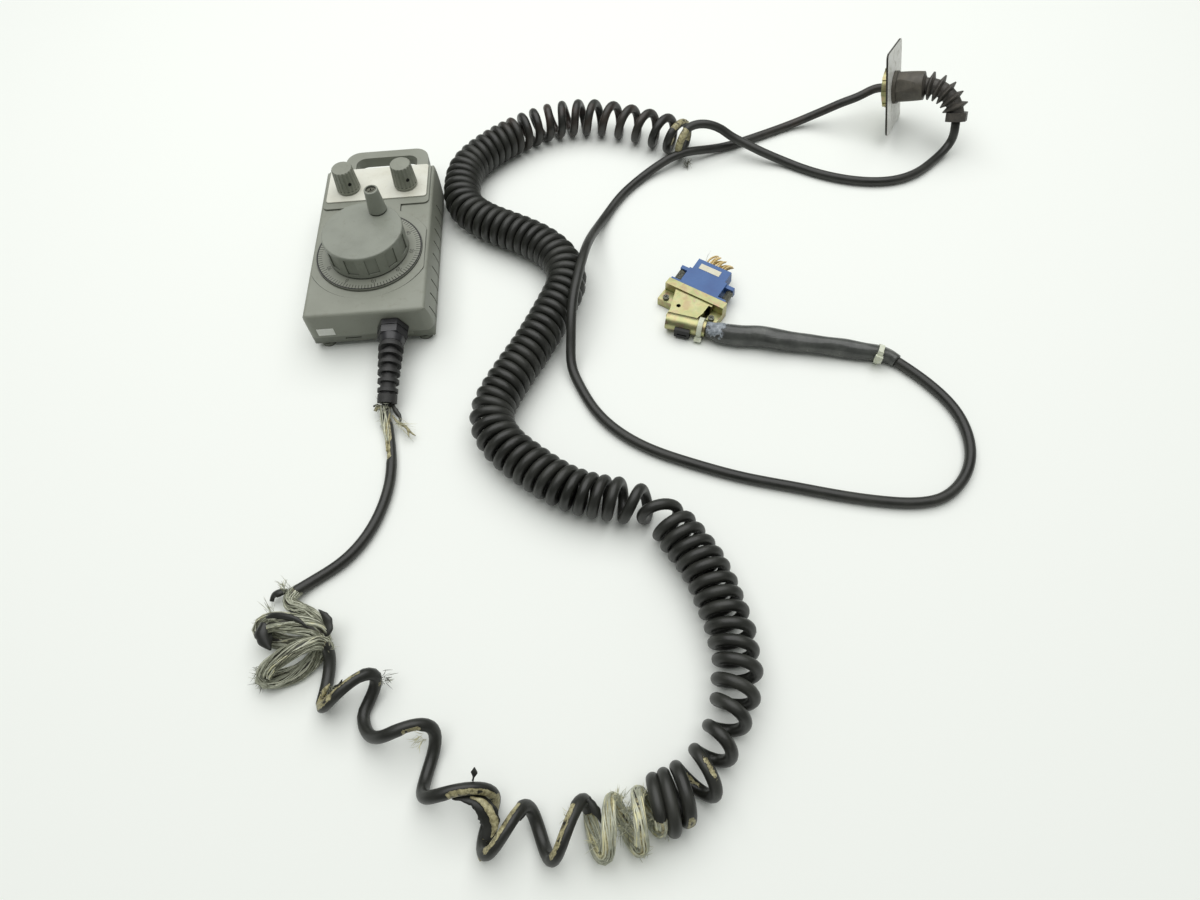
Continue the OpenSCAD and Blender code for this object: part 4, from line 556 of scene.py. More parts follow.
def jacketFinish():
    # Moulded polyurethane, matt charcoal with dusty scuffs along it; torn places show the pale yellow inner sheath,
    # with painted shade in their deepest hollows
    material, tree, shader = newMaterial("cordJacket")
    where = addNode(tree, "TexCoord", out="Object")
    colour, broad = mottled(tree, where, jacket["patch"], 5, jacket["colours"])
    along = addNode(tree, "Mapping", {"Vector": addNode(tree, "UVMap", uv_map="along"),
            "Scale": jacket["scuffScale"]})
    scuff = addNode(tree, "TexNoise", {"Vector": along, "Scale": 1.0, "Detail": 6, "Roughness": 0.7})
    scuff = addNode(tree, "MapRange", (scuff, 0.56, 0.8, 0, jacket["scuffAmount"]))
    colour = addNode(tree, "Mix", {0: scuff, 6: colour, 7: jacket["scuff"]}, 2, data_type="RGBA")
    # brown dust on the turns that lay behind the machine
    north = addNode(tree, "MapRange", (addNode(tree, "SeparateXYZ", (where,), "Y"), *jacket["rustFrom"]))
    rust = addNode(tree, "TexNoise", {"Vector": where, "Scale": perMm / jacket["rustSize"], "Detail": 5,
            "Roughness": 0.65})
    rust = addNode(tree, "MapRange", (rust, 0.45, 0.68, 0, jacket["rustAmount"]))
    rust = addNode(tree, "Math", (rust, north), operation="MULTIPLY")
    colour = addNode(tree, "Mix", {0: rust, 6: colour, 7: jacket["rust"]}, 2, data_type="RGBA")
    # a tear opens where the point value and ragged noise together pass a level
    torn = addNode(tree, "Attribute", out="Fac", attribute_name="torn")
    ragged = addNode(tree, "TexNoise", {"Vector": where, "Scale": perMm / jacket["ragged"], "Detail": 5,
            "Roughness": 0.7})
    opened = addNode(tree, "Math", (ragged, jacket["raggedBy"], torn), operation="MULTIPLY_ADD")
    opened = addNode(tree, "MapRange", (opened, *jacket["tearAt"]))
    inner, _ = mottled(tree, where, jacket["sheathSize"], 6, jacket["sheath"], rough=0.7)
    # deep in a tear, near-black patches are painted shade of the hollow under the torn jacket
    hollow = addNode(tree, "TexNoise", {"Vector": where, "Scale": perMm / jacket["hollowSize"], "Detail": 4,
            "Roughness": 0.6})
    hollow = addNode(tree, "MapRange", (hollow, 0.53, 0.6))
    deep = addNode(tree, "Math", (addNode(tree, "MapRange", (torn, 0.8, 0.97)), hollow), operation="MULTIPLY")
    inner = addNode(tree, "Mix", {0: deep, 6: inner, 7: jacket["hollow"]}, 2, data_type="RGBA")
    core = addNode(tree, "Attribute", out="Fac", attribute_name="core")
    inner = addNode(tree, "Mix", {0: core, 6: inner, 7: jacket["greased"]}, 2, data_type="RGBA")
    colour = addNode(tree, "Mix", {0: opened, 6: colour, 7: inner}, 2, data_type="RGBA")
    # height: fine grain, less one jacket's depth and the ragged noise where it is open
    fine = addNode(tree, "TexNoise", {"Vector": where, "Scale": perMm / jacket["grain"], "Detail": 3})
    depth = addNode(tree, "Math", (ragged, opened, opened), operation="MULTIPLY_ADD")
    fine = addNode(tree, "Math", (fine, jacket["grainHigh"]), operation="MULTIPLY")
    height = addNode(tree, "Math", (fine, depth), operation="SUBTRACT")
    bump = addNode(tree, "Bump", {"Height": height, "Distance": jacket["bump"] * mm, "Strength": 1.0})
    tree.links.new(colour, shader.inputs["Base Color"])
    tree.links.new(addNode(tree, "MapRange", (broad, 0.3, 0.7, *jacket["rough"])), shader.inputs["Roughness"])
    tree.links.new(bump, shader.inputs["Normal"])
    return material


def runNear(point):
    # Millimetres along the main cord where it passes nearest to the point
    return mainRun[np.linalg.norm(mainLine - point, axis=1).argmin()]


def runAt(halfTurn):
    # The same where the coil has made that many half turns
    return runNear([np.interp(halfTurn, turnAt, turns[:, k]) for k in range(3)])


collarRun = runNear([-32, -295.5, 5.8])   # where the lead's jacket ends in a torn collar
tears = {
    # no jacket: from, to in mm along the cord, and whether the core is greased dark
    "bare": [(2, 15, 1), (collarRun + 1, runAt(3.95), 1), (runAt(14.25), runAt(19.3), 0)],
    "bareSoft": 1.5, "splitSoft": 2.5, "edgeSoft": 0.45, "splitDepth": 0.7,   # mm, mm, as the cosine, mm
    # splits: from, to, the way they face, how narrow; on the lead in mm, then on the coil in half turns
    "leadSplits": [(12, 32, (-0.75, -0.2, 0.6), 0), (28, 47, (-0.7, -0.2, 0.65), 0.55)],
    "coilSplits": [
        (4.7, 5.15, (0.3, 0.2, 0.9), 0.55),
        (4.85, 5.35, (-0.6, 0.5, 0.6), 0.25),
        (5.3, 5.75, (-0.4, 0.75, 0.5), 0.6),
        (6, 6.2, (0.7, 0.1, 0.6), 0.7),
        (7.5, 7.8, (0.1, -0.95, 0.15), 0.62),
        (9.35, 10.1, (0, -0.85, 0.45), 0.5),
        (10, 10.9, (0.2, -0.6, 0.6), 0.25),
        (11.1, 11.85, (-0.7, 0.5, 0.5), 0.55),
        (12.75, 12.95, (0.3, 0.2, 0.9), 0.9),
        (13.1, 13.8, (-0.8, 0.3, 0.45), 0.5),
        (20, 20.9, (-0.2, -0.75, 0.4), 0.8),
        (22.4, 23.2, (0.2, -0.8, 0.3), 0.78),
        (23.9, 25.9, (0.35, 0.1, 0.95), 0.9),
        (200.2, 201, (-0.3, -0.3, 0.9), 0.6),
        (201.3, 202.3, (-0.3, -0.3, 0.9), 0.1),
        (202.75, 203.5, (-0.2, -0.5, 0.8), -0.1),
    ],
}


def tearMask(line, run, frames, sides):
    # How far each point of the tube lies inside a split: window along times how squarely it faces out
    side, up = (v[:, None] for v in frames)
    a = roundAngles(sides)[None, :, None]
    out = np.cos(a) * side + np.sin(a) * up
    mask = np.zeros((len(line), sides))
    coilSplits = [(runAt(start), runAt(end), *rest) for start, end, *rest in tears["coilSplits"]]
    for start, end, faces, narrow in tears["leadSplits"] + coilSplits:
        facing = out @ (np.array(faces) / np.linalg.norm(faces))
        along = window(run, start, end, tears["splitSoft"])[:, None]
        mask = np.maximum(mask, along * np.clip((facing - narrow) / tears["edgeSoft"] + 0.5, 0, 1))
    return mask


def cordMesh(name, line, run, radius, sides, frames, vStart=0):
    # The tube, with u once round it and v in metres along it
    points, *faces = tubeArrays(line, radius, sides, frames)
    u = np.tile(np.arange(sides) / sides, len(line))
    return meshFrom(name, points, faces, np.stack([u, np.repeat(run * mm + vStart, sides)], -1))


finish["cordJacket"] = jacketFinish()
mainFrames = carriedFrames(mainLine)
tear = tearMask(mainLine, mainRun, mainFrames, cord["sides"])
bare = sum(window(mainRun, a, b, tears["bareSoft"]) for a, b, _ in tears["bare"])[:, None]
dark = sum(window(mainRun, a, b, tears["bareSoft"]) * c for a, b, c in tears["bare"])
radius = cord["radius"] - (cord["radius"] - cord["core"]) * np.clip(bare, 0, 1) - tears["splitDepth"] * tear
curlyCord = cordMesh("curlyCord", mainLine, mainRun, radius, cord["sides"], mainFrames)
pointValues(curlyCord, "torn", np.clip(np.maximum(tear, bare), 0, 1))
pointValues(curlyCord, "core", np.repeat(dark, cord["sides"]))
place(curlyCord, "case", finish["cordJacket"])
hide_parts("cord_lead", "cord_curl_1", "cord_curl_2", "cord_curl_3", "cord_curl_4", "cord_curl_5",
        "cord_curl_6", "cord_tail_a")
plugCord = cordMesh("plugCord", plugLine, plugRun, cord["radius"], cord["plugSides"], carriedFrames(plugLine), 20)
pointValues(plugCord, "torn", np.zeros(len(plugLine) * cord["plugSides"]))
place(plugCord, "case", finish["cordJacket"])
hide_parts("cord_tail_b")

# Where the jacket is gone: bundles of fine strands, torn flaps of jacket and stray fibres; all sizes in mm
frays = {
    # from, to along the cord, oval width at places along it, height, thread radius, tones from dark to pale
    "bundles": [
        dict(run=(collarRun - 2, runAt(4.05)), count=84, width=[8, 8.5, 8, 9.5, 12, 12, 10, 10.5, 11, 10.5, 7.6],
             height=6.2, thread=0.42, turn=0.045, tone=(0.22, 0.9)),
        dict(run=(runAt(14.2), runAt(19.35)), count=36, width=[7, 8.8, 6.4, 9, 6.6, 8.6, 6.8], height=6.4,
             thread=0.55, turn=0.05, tone=(0.6, 1.0)),
        dict(run=(2, 34), count=34, width=[6.8, 7, 5.6, 3.4], height=5.6, thread=0.36, turn=0.012, tone=(0.45, 0.95),
             shift=(-1.1, 0, 1.1)),
    ],
    # flaps: middle line, widths along it, how far the section arches, tilt about the line in degrees, how yellow
    "flaps": [
        ([[-37, -295.2, 8.5], [-42, -295.8, 9], [-45.3, -296.8, 8], [-47.7, -300.6, 5]], [4, 6, 5.5, 3], 0.3, -15),
        ([[-11.6, -313.6, 18], [-7.7, -318.8, 18], [-6.9, -322.5, 16], [-10.5, -328.5, 13]], [0.6, 5.5, 9, 6], 0.25,
         -35),
        ([[-31.3, -310.5, 13], [-26.7, -313.7, 14], [-20, -320, 15], [-15.5, -324.6, 15]], [1, 3, 2.8, 1], 0.2, 20),
        ([[-46, -319.6, 16], [-39.1, -317.5, 21], [-28.5, -318.8, 24], [-21.6, -321.1, 24], [-15.6, -325.5, 21]],
         [3.4, 4.6, 3.8, 3.2, 0.8], 0.25, -20),
        ([[-41.5, -320, 20], [-42, -325.5, 20], [-40.5, -330.5, 18], [-37.8, -335.6, 15]], [6, 9.5, 8.5, 0.8], 0.3,
         15),
        ([[-1.5, -361, 9], [1, -359.4, 10.5], [4, -358.1, 12.5], [6.2, -356.2, 15]], [3, 3.4, 2, 0.5], 0.3, 0),
        ([[-6.5, -364.5, 9], [-4.5, -361, 12], [-1, -357.5, 13.5]], [1, 3.4, 0.8], 0.25, 0, 0.7),
        ([[-7, -368, 8], [-3.5, -365, 11.5], [1.5, -362, 13], [6, -359.5, 14]], [0.8, 3, 2.6, 0.6], 0.25, 30, 0.7),
        ([[6.5, -358.6, 14], [12.8, -355.9, 16], [18, -353.6, 15.5]], [0.6, 2.2, 0.6], 0.2, 30),
        ([[18.6, -160.6, 10], [21.5, -166.4, 9.5], [24.3, -171.2, 8], [24.5, -174.5, 7]], [2.2, 3.8, 3.2, 0.8], 0.3,
         -30),
        ([[19.5, -169, 9], [24, -174.5, 8], [29, -178, 7.5], [32, -181.5, 6], [36, -184.9, 5]],
         [0.8, 1.8, 2.4, 1.8, 0.4], 0.2, 20, 0.7),
        ([[29, -178, 7.5], [30.5, -181.5, 7], [31.5, -186.5, 6]], [1.6, 1.4, 0.4], 0.2, -20, 0.7),
        ([[11.8, -161.5, 9.5], [8.2, -160.8, 9.5], [6.2, -163.6, 8]], [2.2, 3.2, 2.2], 0.3, 0, 0.7),
        ([[10.4, -160.2, 9], [7.2, -158.8, 9], [4.6, -159.4, 8]], [1, 1.4, 1], 0.2, 0),
        ([[17.6, -167, 9.4], [15.6, -176, 7.6], [15.6, -186, 6.8], [16.6, -197, 6.2]], [0.6, 2, 2.4, 0.5], 0.25, -30,
         0.7),
        ([[83.4, -416.3, 17], [84.4, -414.6, 19.5], [85, -412.6, 21.5], [85.3, -410.4, 22.5]], [1, 1.2, 3.6, 0.6],
         0.1, 0),
        ([[144.6, -429, 18.6], [147.9, -433.9, 17], [151.3, -442, 12.5]], [3.4, 4.4, 0.5], 0.22, 10),
        ([[137, -431, 19], [133.5, -437, 18], [131, -445, 13]], [2.4, 3.4, 1], 0.3, -30, 0.7),
        ([[72.8, -423.9, 17], [84.5, -425.1, 17], [90.6, -430.6, 15], [92.3, -437.1, 12], [89.8, -445.1, 9],
          [87.3, -452.2, 6]], [1.5, 6.5, 10, 9.5, 7, 3], 0.12, 10),
        ([[82.7, -424.3, 19], [89.5, -427.1, 18.5], [93.6, -432.5, 17], [95.2, -438.4, 14], [92.7, -443.6, 11]],
         [1, 3, 4.4, 4, 0.8], 0.15, 10, 0.75),
        ([[86.1, -445.1, 6], [85.5, -450.1, 5], [86.5, -453.4, 4]], [1.2, 2.6, 1.4], 0.3, 0, 0.7),
        ([[111.7, -429.8, 20], [111.2, -433.3, 18], [108.4, -437, 15]], [0.8, 2.2, 0.5], 0.3, 0),
    ],
    "flapThick": 0.75, "flapLip": 0.15, "flapRagged": 0.09, "flapStep": 0.8, "flapColumns": 7,
    # tufts: place, way they stand, length, how many, spread, tones
    "tufts": [
        ((-38.5, -294, 9), (-0.3, 0.9, 0.5), 6, 26, 0.5, (0.5, 1)),
        ((-35.5, -296.5, 10), (0.2, 0.3, 0.9), 4, 22, 0.9, (0.3, 0.9)),
        ((-39, -313.5, 17), (-0.6, 0.75, 0.3), 15, 5, 0.22, (0.6, 0.9)),
        ((-40, -314, 17), (0.2, 0.9, 0.5), 6, 9, 0.5, (0.5, 0.9)),
        ((-47.5, -316.5, 11), (-1, -0.1, 0), 5, 14, 0.6, (0.3, 0.9)),
        ((-42.5, -350, 6), (-0.5, -0.7, -0.1), 5.5, 110, 0.8, (0.2, 0.8)),
        ((-44, -346, 8), (-0.9, -0.1, 0.1), 4.5, 70, 0.7, (0.2, 0.8)),
        ((-4.5, -334.5, 13), (0.9, 0.1, 0.2), 4, 30, 0.9, (0.4, 0.9)),
        ((-1.5, -362, 8), (-0.1, 0.6, 0.8), 4.5, 34, 0.9, (0.3, 0.85)),
        ((3.5, -361, 10), (0.4, 0.5, 0.7), 4.5, 20, 0.8, (0.4, 0.9)),
        ((29.5, -356.5, 12), (0.9, -0.1, 0.2), 4.5, 30, 0.8, (0, 0.6)),
        ((10.8, -160.8, 9), (-0.95, 0, 0.1), 5, 34, 0.7, (0.3, 1)),
        ((15, -161.5, 11), (-0.1, -0.8, 0.4), 5, 24, 0.6, (0.5, 1)),
        ((22.5, -174.5, 7), (0.75, -0.55, 0.05), 13, 16, 0.24, (0.85, 1)),
        ((22, -174.5, 7), (0.7, -0.2, 0.3), 7, 12, 0.5, (0.8, 1)),
        ((13, -171, 5), (-0.9, -0.3, -0.1), 5, 10, 0.5, (0.7, 1)),
        ((53.9, -391.5, 13), (-0.8, -0.6, 0.1), 6, 22, 0.5, (0.85, 1)),
        ((256, 80.7, 3), (0, -0.9, 0.3), 5, 60, 0.9, (0.05, 0.5)),
        ((160, -431, 19), (0.2, 0.9, 0.2), 5, 70, 0.9, (0.6, 1)),
        ((165, -437, 18), (0.1, 0.3, 0.9), 6, 60, 1, (0.5, 1)),
        ((162, -443, 12), (0.3, -0.3, 0.5), 7, 60, 1, (0.4, 0.95)),
        ((176, -441, 14), (0.3, -0.3, 0.5), 6, 60, 1, (0.4, 0.95)),
        ((134, -436, 17), (-0.8, 0.4, 0.2), 5, 20, 0.8, (0.8, 1)),
        ((148, -449, 9), (-0.7, -0.2, 0.3), 6, 20, 0.8, (0.7, 1)),
        ((173, -429, 16), (0.4, 0.8, 0.2), 5, 16, 0.9, (0.75, 1)),
        ((170, -455, 8), (0.1, -0.9, 0), 4.5, 16, 0.9, (0.75, 1)),
        ((183, -447, 8), (0.3, -0.8, 0.1), 4, 12, 0.9, (0.75, 1)),
    ],
    # random shares: of a turn's angle, of the oval's size, and how far every third strand lies inside
    "angleWander": 0.25, "reachWander": 0.06, "inside": 0.25, "knotEvery": 9, "bundleSides": 5,
    "tuftThread": (0.1, 0.22), "tuftLong": (0.35, 1.1), "tuftWay": 0.6, "tuftBend": 0.35, "tuftRoot": 1.3,
    "tuftPoints": 6, "tuftSides": 4, "drift": 3.846,   # mm over which a strand's tone drifts
    "tones": [(0, "#24231D"), (0.2, "#4E4E3E"), (0.4, "#7C7E6B"), (0.6, "#A3A693"), (0.85, "#CBCDBA"),
            (1, "#E3DFB4")],
}


def bundleCurves(b):
    # Strand k lies at angle 2 pi k / count + turn times run on an oval about the cord's line, nudged at random
    start, end = b["run"]
    keep = (mainRun >= start) & (mainRun <= end)
    line, run = mainLine[keep] + np.array(b.get("shift", (0, 0, 0))), mainRun[keep] - start
    side, up = levelFrames(line)
    n, count = len(line), b["count"]
    knots = max(4, int(run[-1] / frays["knotEvery"]))
    half = np.interp(run / run[-1], np.linspace(0, 1, len(b["width"])), b["width"]) / 2 - b["thread"]
    angle = roundAngles(count)[:, None] + b["turn"] * run + frays["angleWander"] * wander(count, n, knots)
    nudge = frays["reachWander"] * wander(count, n, knots)
    reach = 1 - frays["inside"] * (np.arange(count) % 3 == 0)[:, None] + nudge
    high = b["height"] / 2 - b["thread"]
    across, rise = reach * half * np.cos(angle), reach * high * np.sin(angle)
    curves = line + across[:, :, None] * side + rise[:, :, None] * up
    curves[:, :, 2] = np.maximum(curves[:, :, 2], b["thread"] + 0.1)
    return curves


def tuftCurves(at, to, length, count, spread):
    # Each fibre leaves along the tuft's way plus a random part, and bends by a random amount squared along it
    way = unit(np.array(to, float) + spread * rng.normal(0, frays["tuftWay"], (count, 3)))
    long = length * rng.uniform(*frays["tuftLong"], (count, 1, 1))
    u = np.linspace(0, 1, frays["tuftPoints"])[None, :, None]
    bend = rng.normal(0, frays["tuftBend"], (count, 1, 3))
    start = np.array(at, float) + rng.normal(0, frays["tuftRoot"], (count, 1, 3))
    curves = start + long * (u * way[:, None] + u**2 * bend)
    curves[:, :, 2] = np.maximum(curves[:, :, 2], 0.3)
    return curves


def flapArrays(line, widths, arch, tilt, torn=0):
    # A strip of jacket: its section falls from the middle line by arch * width * u squared; its edges are ragged
    line = smoothLine(line, frays["flapStep"])
    n, cols = len(line), frays["flapColumns"]
    side, up = levelFrames(line)
    tilt = math.radians(tilt)
    side, up = math.cos(tilt) * side + math.sin(tilt) * up, math.cos(tilt) * up - math.sin(tilt) * side
    width = np.interp(np.linspace(0, 1, n), np.linspace(0, 1, len(widths)), widths)
    width *= 1 + frays["flapRagged"] * wander(1, n, max(4, n // 2))[0]
    u = np.linspace(-1, 1, cols)[None, :, None]
    w, side, up = width[:, None, None], side[:, None], up[:, None]
    top = line[:, None] + u * w / 2 * side - arch * w * u**2 * up
    under = top - frays["flapThick"] * up - frays["flapLip"] * u * side
    ring = np.concatenate([top, under[:, ::-1]], 1)
    ring[:, :, 2] = np.maximum(ring[:, :, 2], 0.15)
    return (ring.reshape(-1, 3),) + ringFaces(n, 2 * cols), np.full(n * 2 * cols, torn, float)


def strandFinish():
    # Tinned copper and cotton threads: tone runs from dark grease through olive and silver to cream
    material, tree, shader = newMaterial("bareThreads")
    where = addNode(tree, "TexCoord", out="Object")
    tone = addNode(tree, "Attribute", out="Fac", attribute_name="tone")
    drift = addNode(tree, "TexNoise", {"Vector": where, "Scale": perMm / frays["drift"], "Detail": 4,
            "Roughness": 0.6})
    drifted = addNode(tree, "Math", (drift, 0.55, -0.275), operation="MULTIPLY_ADD")
    mixed = addNode(tree, "Math", (tone, drifted), operation="ADD", use_clamp=True)
    tree.links.new(addNode(tree, "ValToRGB", {"Fac": mixed}, stops=frays["tones"]), shader.inputs["Base Color"])
    tree.links.new(addNode(tree, "MapRange", (drift, 0.3, 0.7, 0.3, 0.5)), shader.inputs["Roughness"])
    shader.inputs["Metallic"].default_value = 0.3
    return material


def threadPiece(name, stacks, sides):
    # All threads of one piece, each with one tone: (curves, thread radii, tones) a stack
    obj = meshFrom(name, *joinArrays([manyTubes(curves, thread, sides) for curves, thread, _ in stacks]))
    pointValues(obj, "tone", np.concatenate([np.repeat(tones, c.shape[1] * sides) for c, _, tones in stacks]))
    place(obj, "case", finish["bareThreads"])
    return obj


finish["bareThreads"] = strandFinish()
stacks = [(bundleCurves(b), b["thread"], rng.uniform(*b["tone"], b["count"])) for b in frays["bundles"]]
bareStrands = threadPiece("bareStrands", stacks, frays["bundleSides"])
stacks = []
for *tuft, tones in frays["tufts"]:
    curves = tuftCurves(*tuft)
    stacks.append((curves, rng.uniform(*frays["tuftThread"], len(curves)), rng.uniform(*tones, len(curves))))
looseFibres = threadPiece("looseFibres", stacks, frays["tuftSides"])
strips, torn = zip(*[flapArrays(*f) for f in frays["flaps"]])
jacketFlaps = meshFrom("jacketFlaps", *joinArrays(strips))
pointValues(jacketFlaps, "torn", np.concatenate(torn))
place(jacketFlaps, "case", finish["cordJacket"])
print("cords made")

dial = {
    "centre": (0.0, -36.75), "top": 40.0,   # mm
    "ring": (38.85, 39.9), "ticks": (35.7, 39.0), "longTicks": (34.4, 39.0), "tickWidth": 0.5, "tickCount": 100,
    "zeroAt": -115.0, "numbers": 10, "numberRadius": 32.5, "numberSize": 4.3, "numberLift": 0.03,   # degrees, mm
    "ink": "#23241E", "ringGapShade": "#0E0E0C", "inkSoft": 0.05, "ringSoft": 0.04,   # mm
    "numberInk": dict(colours=["#282922", "#35362E"], patch=1, grain=0.2, rough=(0.4, 0.5)),
}


def dialFinish():
    # Printed scale: ink where the distance to the nearest tick angle, times the radius, is under half a tick's width;
    # a dark ring at the rim is painted shade of the gap round the dial
    material, tree, shader, where = plainFinish("dialFace", plainSpecs["mouldedAbs"])
    middle = tuple(c * mm for c in dial["centre"]) + (0,)
    parts = addNode(tree, "VectorMath", (where, middle), operation="SUBTRACT")
    parts = addNode(tree, "SeparateXYZ", (parts,)).node.outputs
    flat = addNode(tree, "CombineXYZ", (parts[0], parts[1]))
    radius = addNode(tree, "VectorMath", (flat,), "Value", operation="LENGTH")
    radius = addNode(tree, "Math", (radius, mm), operation="DIVIDE")
    angle = addNode(tree, "Math", (parts[1], parts[0]), operation="ARCTAN2")
    angle = addNode(tree, "Math", (angle, math.radians(dial["zeroAt"])), operation="SUBTRACT")

    def band(low, high):
        # 1 where the radius is between the two
        soft = dial["ringSoft"]
        rise = addNode(tree, "MapRange", (radius, low - soft, low + soft))
        fall = addNode(tree, "MapRange", (radius, high - soft, high + soft, 1, 0))
        return addNode(tree, "Math", (rise, fall), operation="MULTIPLY")

    def marks(count, low, high):
        # 1 on that many ticks round the dial
        turn = addNode(tree, "Math", (angle, count / (2 * math.pi), 0.5 + 2 * count), operation="MULTIPLY_ADD")
        turn = addNode(tree, "Math", (turn,), operation="FRACT")
        away = addNode(tree, "Math", (turn, 0.5), operation="SUBTRACT")
        away = addNode(tree, "Math", (away,), operation="ABSOLUTE")
        away = addNode(tree, "Math", (away, 2 * math.pi / count), operation="MULTIPLY")
        away = addNode(tree, "Math", (away, radius), operation="MULTIPLY")
        half, soft = dial["tickWidth"] / 2, dial["inkSoft"]
        on = addNode(tree, "MapRange", (away, half - soft, half + soft, 1, 0))
        return addNode(tree, "Math", (on, band(low, high)), operation="MULTIPLY")

    ticks = marks(dial["tickCount"], *dial["ticks"]), marks(dial["numbers"], *dial["longTicks"])
    printed = addNode(tree, "Math", ticks, operation="MAXIMUM")
    base = shader.inputs["Base Color"].links[0].from_socket
    colour = addNode(tree, "Mix", {0: printed, 6: base, 7: dial["ink"]}, 2, data_type="RGBA")
    # the dark ring at the dial's rim is painted shade of the gap where the dial sits in the case
    colour = addNode(tree, "Mix", {0: band(*dial["ring"]), 6: colour, 7: dial["ringGapShade"]}, 2, data_type="RGBA")
    tree.links.new(colour, shader.inputs["Base Color"])
    return material


def numberArrays(k):
    # One plain number on the dial, its top outward, the numbers counting anticlockwise
    curve = bpy.data.curves.new("digits", "FONT")
    curve.body, curve.size = str(10 * k), dial["numberSize"]
    curve.align_x, curve.align_y, curve.resolution_u = "CENTER", "CENTER", 3
    holder = bpy.data.objects.new("digits", curve)
    bpy.context.scene.collection.objects.link(holder)
    bpy.context.view_layer.update()
    mesh = bpy.data.meshes.new_from_object(holder.evaluated_get(bpy.context.evaluated_depsgraph_get()))
    mesh.calc_loop_triangles()
    flat = np.empty(len(mesh.vertices) * 3, np.float32)
    mesh.vertices.foreach_get("co", flat)
    faces = np.empty(len(mesh.loop_triangles) * 3, np.int32)
    mesh.loop_triangles.foreach_get("vertices", faces)
    bpy.data.objects.remove(holder)
    bpy.data.meshes.remove(mesh)
    bpy.data.curves.remove(curve)
    p = flat.reshape(-1, 3)[:, :2].astype(float)
    a = math.radians(dial["zeroAt"] + 360 / dial["numbers"] * k)
    out, along = np.array([math.cos(a), math.sin(a)]), np.array([math.sin(a), -math.cos(a)])
    spot = np.array(dial["centre"]) + dial["numberRadius"] * out + p[:, :1] * along + p[:, 1:] * out
    return np.c_[spot, np.full(len(spot), dial["top"] + dial["numberLift"])], faces.reshape(-1, 3)


finish["dialFace"] = dialFinish()
points, faces = joinArrays([numberArrays(k) for k in range(dial["numbers"])])
dialNumbers = meshFrom("dialNumbers", points, faces, smooth=False)
place(dialNumbers, "case", plainFinish("numberInk", dial["numberInk"])[0])
print("dial printed")

sleeve = {
    # the wrapped sleeve on the plug's cord, mm: middle line, radius there, lumps
    "line": [[379.8, -151.8, 4.8], [377.8, -149.6, 5], [366, -144, 6.3], [345, -138.5, 7.2], [318, -131.5, 7.6],
            [290, -124, 8.4], [268, -118, 8.4], [257, -115.2, 8.4], [252.3, -113.2, 8.2], [248.35, -111.6, 8]],
    "radius": [4.7, 4.9, 6.1, 6.7, 7.0, 7.6, 8, 7.6, 6.3, 5.6],
    "lump": 0.42, "lumpEvery": 17, "endFade": 6, "step": 1.2, "sides": 40, "under": 0.1,   # mm; under is the lowest z
    "colours": ["#383937", "#484A47", "#5D5F5B"], "patch": 14, "rough": (0.22, 0.42),
    "worn": ["#5C636A", "#8D959C", "#B4BAC0"], "wornSize": 2.5, "wornGrain": 3.03,   # mm
    "wornAt": (255, -114, 13), "wornReach": 17,   # mm
    "wornBy": 1.6, "wornFrom": (1.22, 1.36),   # share of the noise, and where it and the reach rub through
    "creaseTurn": 16.9, "creaseLong": 0.12, "creaseSize": 2.381, "bump": 0.3,   # degrees, share, mm, mm
}


def sleeveArrays():
    # Tube of the given radii, plus lumps: waves cos ka and sin ka round it, k from 1 to 3, that wander along it
    line = smoothLine(sleeve["line"], sleeve["step"])
    n, sides = len(line), sleeve["sides"]
    knots, run = runAlong(np.array(sleeve["line"])), runAlong(line)
    radius = np.interp(run / run[-1], knots / knots[-1], sleeve["radius"])[:, None]
    a = roundAngles(sides)
    lumps = np.zeros((n, sides))
    for k in (1, 2, 3):
        wave = wander(2, n, int(run[-1] / sleeve["lumpEvery"]) + 4)[:, :, None]
        lumps += wave[0] * np.cos(k * a) / k + wave[1] * np.sin(k * a) / k
    ends = np.clip(run / sleeve["endFade"], 0, 1) * np.clip((run[-1] - run) / sleeve["endFade"], 0, 1)
    points, *faces = tubeArrays(line, radius + sleeve["lump"] * lumps * ends[:, None], sides, carriedFrames(line))
    points[:, 2] = np.maximum(points[:, 2], sleeve["under"])
    return points, faces


